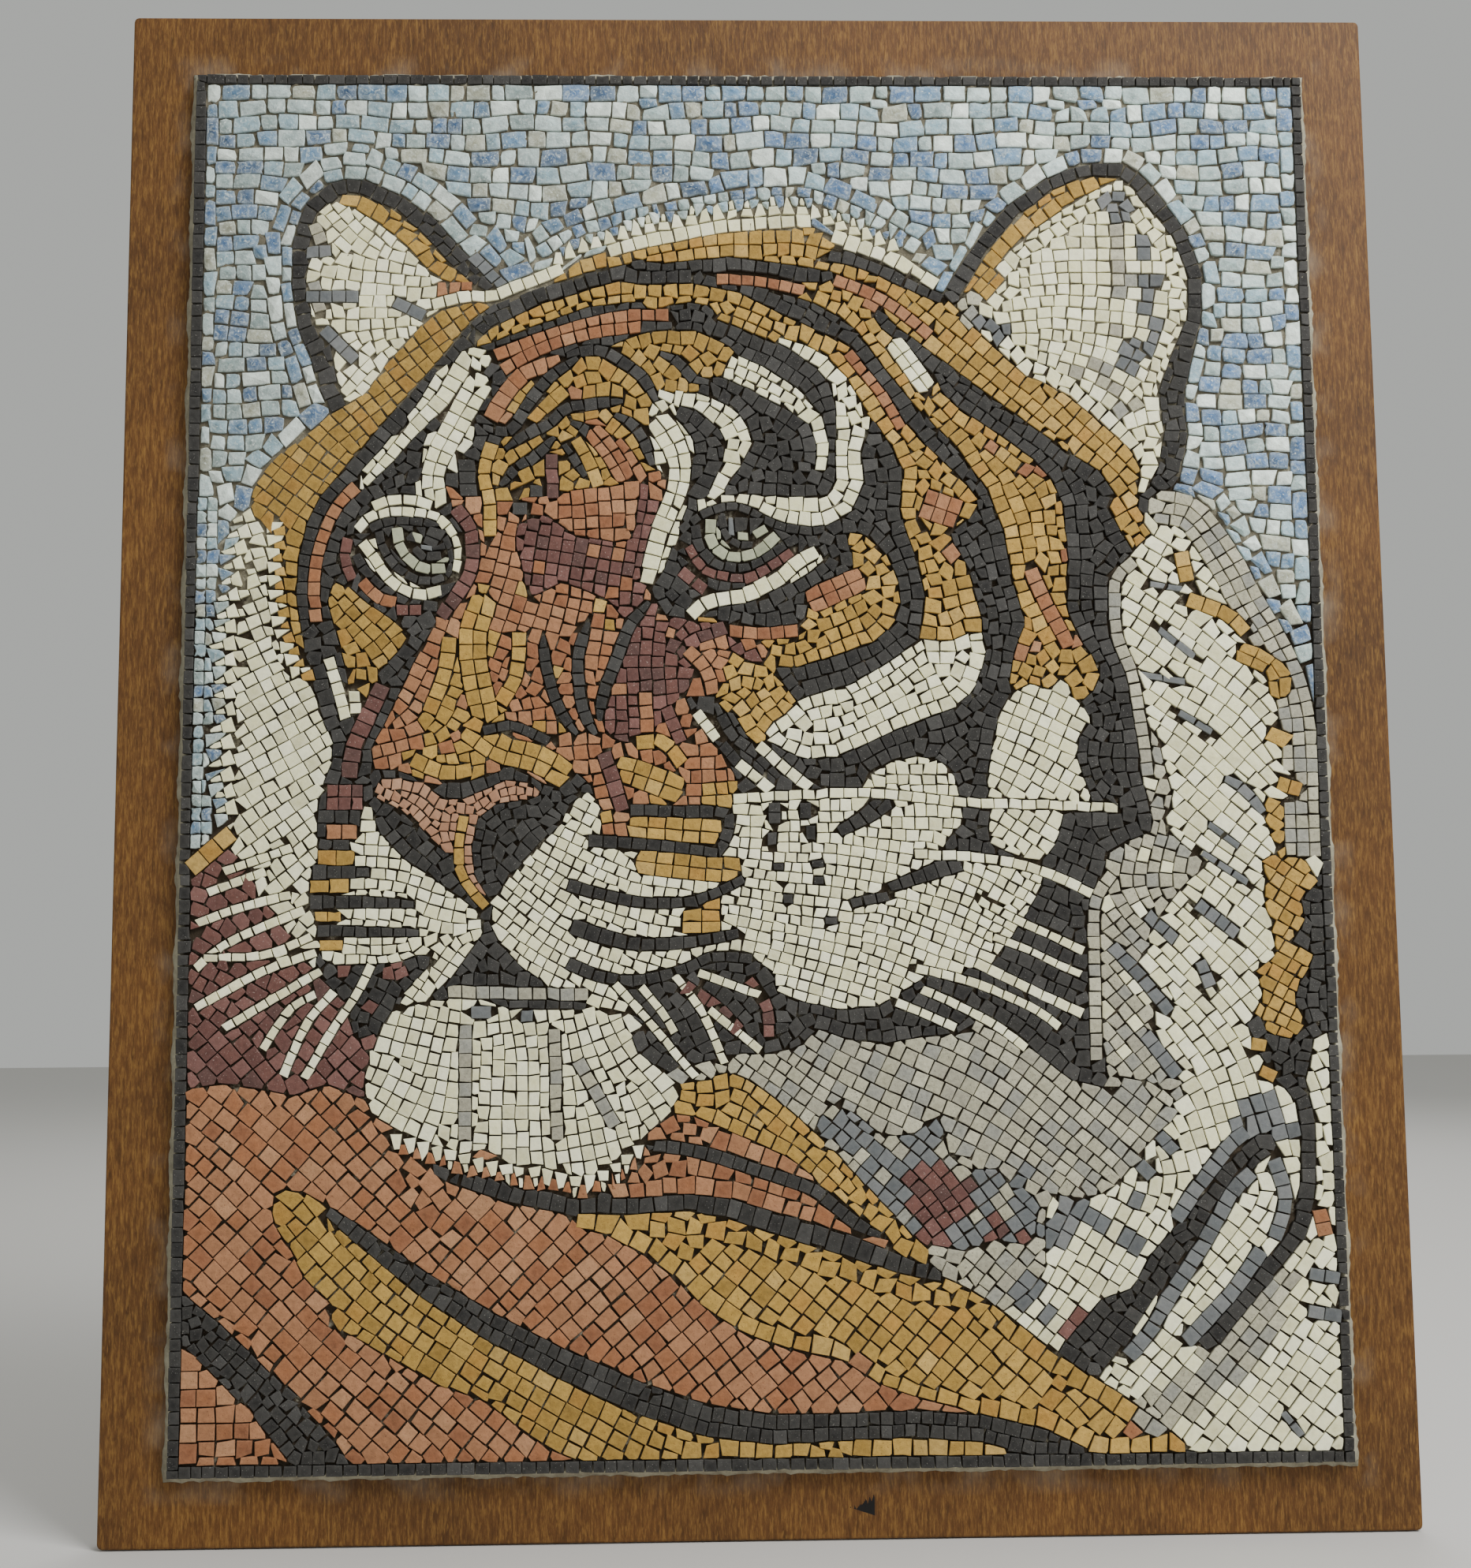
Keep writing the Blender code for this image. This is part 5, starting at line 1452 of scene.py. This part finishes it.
def clip(outline: list, normal_x: float, normal_z: float, offset: float) -> list:
    """Keep the part of a convex outline behind a line.

    Args:
        outline: Its (x, z) corners.
        normal_x, normal_z: The line's normal, towards what is cut off.
        offset: The line's distance from the origin along the normal.

    Returns:
        The corners that are left, in the same turn.
    """
    kept = []
    for at, here in enumerate(outline):
        ahead = outline[(at + 1) % len(outline)]
        here_off = normal_x * here[0] + normal_z * here[1] - offset
        ahead_off = normal_x * ahead[0] + normal_z * ahead[1] - offset
        if here_off <= 0:
            kept.append(here)
        if (here_off < 0 < ahead_off) or (ahead_off < 0 < here_off):
            share = here_off / (here_off - ahead_off)
            kept.append(part_way(here, ahead, share))
    return kept


def tidy_outline(outline: list, least: float) -> list:
    """Merge the corners that lie too close together.

    Args:
        outline: The (x, z) corners.
        least: The shortest side that stays, in millimetres.

    Returns:
        The corners that are left.
    """
    kept = list(outline)
    at = 0
    while len(kept) > 3 and at < len(kept):
        here, ahead = kept[at], kept[(at + 1) % len(kept)]
        if math.dist(here, ahead) < least:
            kept[at] = ((here[0] + ahead[0]) / 2, (here[1] + ahead[1]) / 2)
            kept.pop((at + 1) % len(kept))
            at = 0
        else:
            at += 1
    return kept


def outline_area(outline: list) -> float:
    """The area of an outline, negative where its corners run clockwise."""
    return sum(a[0] * b[1] - b[0] * a[1] for a, b in zip(outline, outline[1:] + outline[:1])) / 2


def outline_middle(outline: list) -> tuple[float, float]:
    """The mean of an outline's corners."""
    return sum(p[0] for p in outline) / len(outline), sum(p[1] for p in outline) / len(outline)


def smooth_line(points: list, widths: list) -> tuple[list, list]:
    """A smooth line through a few points, by cubic spans of four steps.

    Args:
        points: The (x, z) points of the line.
        widths: The width at each.

    Returns:
        The points and widths of the finer line.
    """
    if len(points) < 3:
        return list(points), list(widths)
    fine, fine_widths = [], []
    for at in range(len(points) - 1):
        before = points[max(at - 1, 0)]
        here, ahead = points[at], points[at + 1]
        after = points[min(at + 2, len(points) - 1)]
        for step in range(4):
            t = step / 4
            mixed = []
            for axis in (0, 1):
                a, b, c, d = before[axis], here[axis], ahead[axis], after[axis]
                mixed.append(0.5 * (2 * b + (c - a) * t + (2 * a - 5 * b + 4 * c - d) * t * t
                                    + (3 * b - a - 3 * c + d) * t ** 3))
            fine.append(tuple(mixed))
            fine_widths.append(widths[at] * (1 - t) + widths[at + 1] * t)
    fine.append(points[-1])
    fine_widths.append(widths[-1])
    return fine, fine_widths


def pointed_ends(line: list, widths: list, least: float) -> list:
    """Narrow both ends of a stripe over one and a half times its width.

    Args:
        line: The stripe's points.
        widths: The width at each.
        least: The share of the width that is left at the very end.

    Returns:
        The narrowed widths.
    """
    run = [0.0]
    for start, end in zip(line, line[1:]):
        run.append(run[-1] + math.dist(start, end))
    return [width * min(1.0, least + (1 - least) * min(done, run[-1] - done) / (1.5 * width))
            for width, done in zip(widths, run)]


@dataclass
class Mosaic:
    """All the tesserae: one piece for each stone.

    Lengths are in millimetres. Uneven is how far a face stands out or back. A dash is a slate
    stroke narrower than dash_width, and a stripe a black one of at least stripe_width.
    """

    uneven: float = 0.15
    most_uneven: float = 0.3
    long_side: float = 3.0
    # How much darker the sky gets to the left: partly darker stones, partly painted shade
    sky_tone_and_shade_falloff: float = 0.9
    dash_width: float = 4.5
    dash_length: float = 7.5
    dash_end: float = 0.65
    stripe_width: float = 4.4
    stripe_end: float = 0.4
    thin_width: float = 4.0
    thin_length: float = 5.0
    stroke_joint: float = 0.45
    tip_seed: int = 3
    stone_seed: int = 11
    laid: list = field(default_factory=list)
    lays: list = field(default_factory=list)
    names: list = field(default_factory=list)

    def __post_init__(self) -> None:
        """Take the mosaic's place from the CAD."""
        left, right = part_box("border_left"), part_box("border_right")
        self.front = left[0].y / MM
        self.back = left[1].y / MM
        self.width = (right[1].x - left[0].x) / MM
        self.height = (left[1].z - left[0].z) / MM

    def plan(self) -> None:
        """Draw the areas and strokes on the ground and lay the tesserae."""
        ground = Ground(self.width, self.height)
        for name, lay in LAYS.items():
            number = len(self.lays)
            self.lays.append(lay)
            self.names.append(name)
            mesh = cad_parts[name].data
            front = min(vert.co.y for vert in mesh.vertices) + 0.0001
            mesh.calc_loop_triangles()
            for face in mesh.loop_triangles:
                corners = [mesh.vertices[at].co for at in face.vertices]
                if all(corner.y < front for corner in corners):
                    ground.fill_triangle([(c.x / MM, c.z / MM) for c in corners], number)
        ground.close_gaps(4)
        strokes = []
        for stone, drawn in DRAWN + self.tips():
            base = {Stone.BLACK: BLACK_LAY, Stone.OCHRE: OCHRE_LAY}.get(stone, CREAM_LAY)
            for width, *points in drawn:
                first, last = width if isinstance(width, tuple) else (width, width)
                shares = [at / (len(points) - 1) for at in range(len(points))]
                line, widths = smooth_line(points, [first + (last - first) * s for s in shares])
                dash = stone is Stone.SLATE and first < self.dash_width
                even = first == last and len(points) > 2
                length = self.thin_length if min(first, last) < self.thin_width else base.length
                if dash:
                    widths = pointed_ends(line, widths, self.dash_end)
                    length = self.dash_length
                elif stone is Stone.BLACK and even and first >= self.stripe_width:
                    widths = pointed_ends(line, widths, self.stripe_end)
                number = len(self.lays)
                self.lays.append(Lay(stone, length, first, joint=self.stroke_joint))
                self.names.append("stroke")
                ground.fill_stroke(line, widths, number)
                strokes.append((number, line, widths))
        borders = {at for at, name in enumerate(self.names) if name.startswith("border")}
        sky = self.names.index("sky")
        setter = Setter(ground, self.lays, fixed_rows=borders | {sky})
        setter.lay_all(strokes)
        setter.cut_outlines()
        self.laid = setter.laid
        LOG.info("%d tesserae laid", len(self.laid))

    def tips(self) -> tuple:
        """The pointed tesserae at the ends of the fur, as strokes that narrow to a point.

        Returns:
            Strokes in the form of DRAWN, those between the points before the points.
        """
        drawn = []
        chance = np.random.default_rng(self.tip_seed)
        for stone, between, width, length, lean, path in FUR_TIPS:
            line, _ = smooth_line(list(path), [0] * len(path))
            feet = [line[0]]
            for start, end in zip(line, line[1:]):
                while math.dist(feet[-1], end) >= width:
                    feet.append(part_way(feet[-1], end, width / math.dist(feet[-1], end)))
            pointed, gaps = [], []
            for foot, ahead in zip(feet, feet[1:]):
                angle = math.radians(lean + chance.uniform(-7, 7))
                reach = length * chance.uniform(0.85, 1.2)
                way = (math.cos(angle) * reach, math.sin(angle) * reach)
                pointed.append(((width * 1.04, 0.8), foot, (foot[0] + way[0], foot[1] + way[1])))
                middle = ((foot[0] + ahead[0]) / 2, (foot[1] + ahead[1]) / 2)
                # The tessera between two points widens outwards as they narrow
                gaps.append(((0.35 * width, width),
                             (middle[0] + way[0] * 0.3, middle[1] + way[1] * 0.3),
                             (middle[0] + way[0], middle[1] + way[1])))
            drawn.append((between, tuple(gaps)))
            drawn.append((stone, tuple(pointed)))
        return tuple(drawn)

    def stone_of(self, made: Tessera, chance: np.random.Generator) -> Stone:
        """The stone of a tessera: its area's, a patch's, or now and then one mixed into it.

        Args:
            made: The tessera.
            chance: Where the chances come from.

        Returns:
            Its stone.
        """
        lay = self.lays[made.area]
        throw = chance.uniform()
        if lay.stone not in (Stone.SKY, Stone.BLACK) and self.names[made.area] != "stroke":
            for stone, spots in PATCHES:
                if any(math.hypot(made.x - x, made.z - z) < reach for x, z, reach in spots):
                    return stone
        for stone, share in lay.mix:
            if throw < share:
                return stone
            throw -= share
        return lay.stone

    def build(self) -> None:
        """Make the piece of each stone from its tesserae."""
        chance = np.random.default_rng(self.stone_seed)
        heaps: dict[Stone, list] = {stone: [] for stone in Stone}
        for made in self.laid:
            heaps[self.stone_of(made, chance)].append(made)
        for stone, heap in heaps.items():
            piece = self.build_stone(stone, heap, chance)
            nodes = [name for name, lay in LAYS.items() if lay.stone is stone]
            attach(piece, "root")
            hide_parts(*nodes)
            LOG.info("%s: %d tesserae, %d faces", piece.name, len(heap), len(piece.data.polygons))

    def build_stone(self, stone: Stone, heap: list, chance: np.random.Generator) -> bpy.types.Object:
        """Model the tesserae of one stone: split blocks with broken edges.

        Args:
            stone: The stone.
            heap: Its tesserae.
            chance: Where the chances come from.

        Returns:
            The piece, with its material.
        """
        split = RIVEN_SPLIT if stone is Stone.SKY else CLEAN_SPLIT
        bm = bmesh.new()
        tone = bm.verts.layers.float.new("tone")
        shade = bm.verts.layers.float.new("shade")
        rim = bm.verts.layers.float.new("rim")
        fronts = []
        for made in heap:
            outline = self.broken_outline(made.outline, chance, split)
            rise = float(np.clip(chance.normal(0, self.uneven), -self.most_uneven, self.most_uneven))
            lean = chance.normal(0, split.tilt, 2)
            middle = outline_middle(outline)
            tone_here = chance.uniform(0.001, 0.999)
            shade_here = chance.uniform(*self.lays[made.area].shades)
            if stone is Stone.SKY:
                # The sky is darker on the left: partly darker stones, partly painted shade for the light that
                # falls off to the left
                shade_here = float(np.clip(shade_here + made.x / self.width * self.sky_tone_and_shade_falloff, 0, 1))
            corners = []
            for x, z in outline:
                y = self.front + split.drop - rise
                y = y + lean[0] * (x - middle[0]) + lean[1] * (z - middle[1])
                corner = bm.verts.new((x * MM, y * MM, z * MM))
                corner[tone] = tone_here
                corner[shade] = shade_here
                corner[rim] = 1.0
                corners.append(corner)
            fronts.append(bm.faces.new(corners))
        pushed = bmesh.ops.extrude_face_region(bm, geom=fronts)
        for item in pushed["geom"]:
            if isinstance(item, bmesh.types.BMVert):
                item.co.y = self.back * MM
        bmesh.ops.recalc_face_normals(bm, faces=bm.faces)
        bmesh.ops.inset_individual(bm, faces=fronts, thickness=split.bevel * MM,
                                   depth=split.drop * MM, use_even_offset=True)
        for face in fronts:
            for corner in face.verts:
                corner[rim] = 0.55
        poked = bmesh.ops.poke(bm, faces=fronts, offset=0.0, center_mode="MEAN")
        for centre in poked["verts"]:
            around = [edge.other_vert(centre) for edge in centre.link_edges]
            centre[tone] = around[0][tone]
            centre[shade] = around[0][shade]
            centre[rim] = 0.0
            off = chance.normal(0, 0.5, 2) * MM
            bulge = abs(chance.normal(split.bulge, split.bulge * 0.5)) * MM
            centre.co += Vector((off[0], -bulge, off[1]))
        return new_object(stone.value + "_tesserae", bm, FINISHES[stone].material())

    def broken_outline(self, outline: list, chance: np.random.Generator, split: Split) -> list:
        """Move the corners a little inwards, and on a ragged stone break each long side once.

        Args:
            outline: The corners of the tessera.
            chance: Where the chances come from.
            split: How the stone splits.

        Returns:
            The corners, anticlockwise seen from the front.
        """
        turned = outline if outline_area(outline) > 0 else outline[::-1]
        middle = outline_middle(turned)
        broken = []
        for here, ahead in zip(turned, turned[1:] + turned[:1]):
            chipped = min(chance.exponential(split.chip), 0.9)
            pull = chipped / max(math.dist(here, middle), 1.5)
            broken.append(part_way(here, middle, pull))
            if split.ragged and math.dist(here, ahead) > self.long_side:
                share = chance.uniform(0.35, 0.65)
                pull = chance.uniform(-0.05, 0.07)
                broken.append(part_way(part_way(here, ahead, share), middle, pull))
        return broken


@dataclass
class AdhesiveBed:
    """The adhesive that the tesserae sit in: risen between them, and a low bead round them.

    Sizes are in millimetres, and levels are places along y. Crumbs is how far they rise in the
    figure and in the sky.
    """

    pitch: float = 2.2
    sky_level: float = -17.0
    figure_level: float = -15.9
    bead_level: float = -15.6
    bead_reach: float = 1.5
    crumb_share: float = 0.07
    crumbs: tuple = (1.7, 1.0)
    sky_joint_less_shade: float = 0.35
    rough: float = 0.25
    seed: int = 5

    def build(self) -> None:
        """Model the bed as a bumpy slab that falls to the board beyond the tesserae."""
        low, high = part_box("adhesive_bed")
        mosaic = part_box("border_left")
        half_x, half_z = high.x / MM, high.z / MM
        tiles_x, tiles_z = -mosaic[0].x / MM, mosaic[1].z / MM
        bm = bmesh.new()
        bmesh.ops.create_grid(bm, x_segments=round(2 * half_x / self.pitch),
                              y_segments=round(2 * half_z / self.pitch), size=1.0)
        bmesh.ops.scale(bm, vec=(half_x, half_z, 1.0), verts=bm.verts)
        bmesh.ops.rotate(bm, cent=(0, 0, 0), matrix=Matrix.Rotation(math.pi / 2, 3, "X"),
                         verts=bm.verts)
        chance = np.random.default_rng(self.seed)
        bare = bm.verts.layers.float.new("bare")
        for vert in bm.verts:
            x, z = vert.co.x, vert.co.z
            beyond = max(abs(x) - tiles_x, abs(z) - tiles_z)
            sky = z > 60 and self.in_sky(x, z)
            level = self.sky_level if sky else self.figure_level
            level += chance.uniform(-self.rough, self.rough)
            # Here and there a crumb has dried nearly level with the stones
            if chance.uniform() < self.crumb_share:
                level -= self.crumbs[sky]
            # The joints are painted dark as shade, less in the sky, where the adhesive stands higher
            vert[bare] = self.sky_joint_less_shade if sky else 0.0
            if beyond > -self.bead_reach:
                level = self.bead_level + chance.uniform(-0.5, 0.5)
                vert[bare] = 1.0
            on_side, on_end = abs(x) > half_x - 0.1, abs(z) > half_z - 0.1
            if on_side or on_end:
                level = high.y / MM - 0.3
                wander = (0.5 + 0.5 * math.sin(x * 0.21 + 1.3) * math.sin(z * 0.17)
                          + chance.uniform(-0.4, 0.4))
                vert.co.x += math.copysign(wander, x) if on_side else 0.0
                vert.co.z += math.copysign(wander, z) if on_end else 0.0
            vert.co.y = level
        rim = [edge for edge in bm.edges if edge.is_boundary]
        pushed = bmesh.ops.extrude_edge_only(bm, edges=rim)
        far = [item for item in pushed["geom"] if isinstance(item, bmesh.types.BMVert)]
        for vert in far:
            vert.co.y = high.y / MM
        loop = [item for item in pushed["geom"] if isinstance(item, bmesh.types.BMEdge)
                and all(vert in far for vert in item.verts)]
        bmesh.ops.edgeloop_fill(bm, edges=loop)
        bmesh.ops.scale(bm, vec=(MM, MM, MM), verts=bm.verts)
        bmesh.ops.recalc_face_normals(bm, faces=bm.faces)
        piece = new_object("adhesive", bm, AdhesiveFinish().material())
        for face in piece.data.polygons:
            face.use_smooth = True
        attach(piece, "root")
        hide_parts("adhesive_bed")
        LOG.info("adhesive: %d faces", len(piece.data.polygons))

    def in_sky(self, x: float, z: float) -> bool:
        """Whether a place is well above the arch of the head, or beside the ears."""
        return z > 205 - 0.0035 * x * x or abs(x) > 195


@dataclass
class Board:
    """The stained plywood board, a CAD node that keeps its shape."""

    def dress(self) -> None:
        """Give the board its wood."""
        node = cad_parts["backing_board"]
        low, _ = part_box("backing_board")
        _, bed_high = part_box("adhesive_bed")
        wood = BoardFinish().material(low.y, (bed_high.x, bed_high.z))
        node.data.materials.clear()
        node.data.materials.append(wood)
        LOG.info("backing_board: dressed")


@dataclass
class Studio:
    """The photograph's camera, a pale floor and soft light."""

    place: tuple = (-0.0262, -0.7491, -0.0882)
    aim: tuple = (-0.0090, -0.0183, -0.0143)
    roll: float = -0.472
    lens: float = 43.46
    sensor: float = 36.0
    floor: str = "c9c7c3"
    backdrop: str = "eceeea"
    backdrop_strength: float = 0.56
    lamps: tuple = (
        ("key", (0.85, -0.95, 1.15), 0.8, 35.5),
        ("fill", (0.5, -1.9, 0.2), 1.4, 5.0),
        ("rear", (0.4, 1.6, 1.2), 1.2, 14.0))

    def build(self) -> None:
        """Set up the camera, the floor and the lights."""
        scene = bpy.context.scene
        data = bpy.data.cameras.new("camera")
        data.lens = self.lens
        data.sensor_width = self.sensor
        data.clip_start = 0.01
        camera = bpy.data.objects.new("camera", data)
        scene.collection.objects.link(camera)
        forward = Vector(self.aim) - Vector(self.place)
        turn = forward.to_track_quat("-Z", "Y").to_matrix()
        turn = turn @ Matrix.Rotation(math.radians(self.roll), 3, "Z")
        camera.matrix_world = Matrix.Translation(self.place) @ turn.to_4x4()
        scene.camera = camera
        floor_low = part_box("backing_board")[0].z - 0.0005
        bm = bmesh.new()
        bmesh.ops.create_grid(bm, x_segments=1, y_segments=1, size=4.0)
        bmesh.ops.translate(bm, vec=(0, 0, floor_low), verts=bm.verts)
        painted, _, shader = new_material("pale_floor")
        shader.inputs["Base Color"].default_value = linear(self.floor)
        shader.inputs["Roughness"].default_value = 0.9
        floor = new_object("floor", bm, painted)
        world = bpy.data.worlds.new("studio")
        world.use_nodes = True
        background = world.node_tree.nodes["Background"]
        background.inputs["Color"].default_value = linear(self.backdrop)
        background.inputs["Strength"].default_value = self.backdrop_strength
        scene.world = world
        for lamp in self.lamps:
            self.lamp(*lamp)

    def lamp(self, name: str, place: tuple, size: float, power: float) -> None:
        """Add one soft square lamp that points at the panel.

        Args:
            name: Its name.
            place: Where it stands, in metres.
            size: Its side, in metres.
            power: Its power, in watts.
        """
        data = bpy.data.lights.new(name, "AREA")
        data.size = size
        data.energy = power
        lamp = bpy.data.objects.new(name, data)
        bpy.context.scene.collection.objects.link(lamp)
        turn = (-Vector(place)).to_track_quat("-Z", "Y").to_matrix().to_4x4()
        lamp.matrix_world = Matrix.Translation(place) @ turn


def main() -> None:
    """Build the panel and the studio, and log the counts of tesserae and faces."""
    logging.basicConfig(level=logging.INFO, format="%(message)s")
    Studio().build()
    Board().dress()
    AdhesiveBed().build()
    mosaic = Mosaic()
    mosaic.plan()
    mosaic.build()


if __name__ == "__main__":
    main()
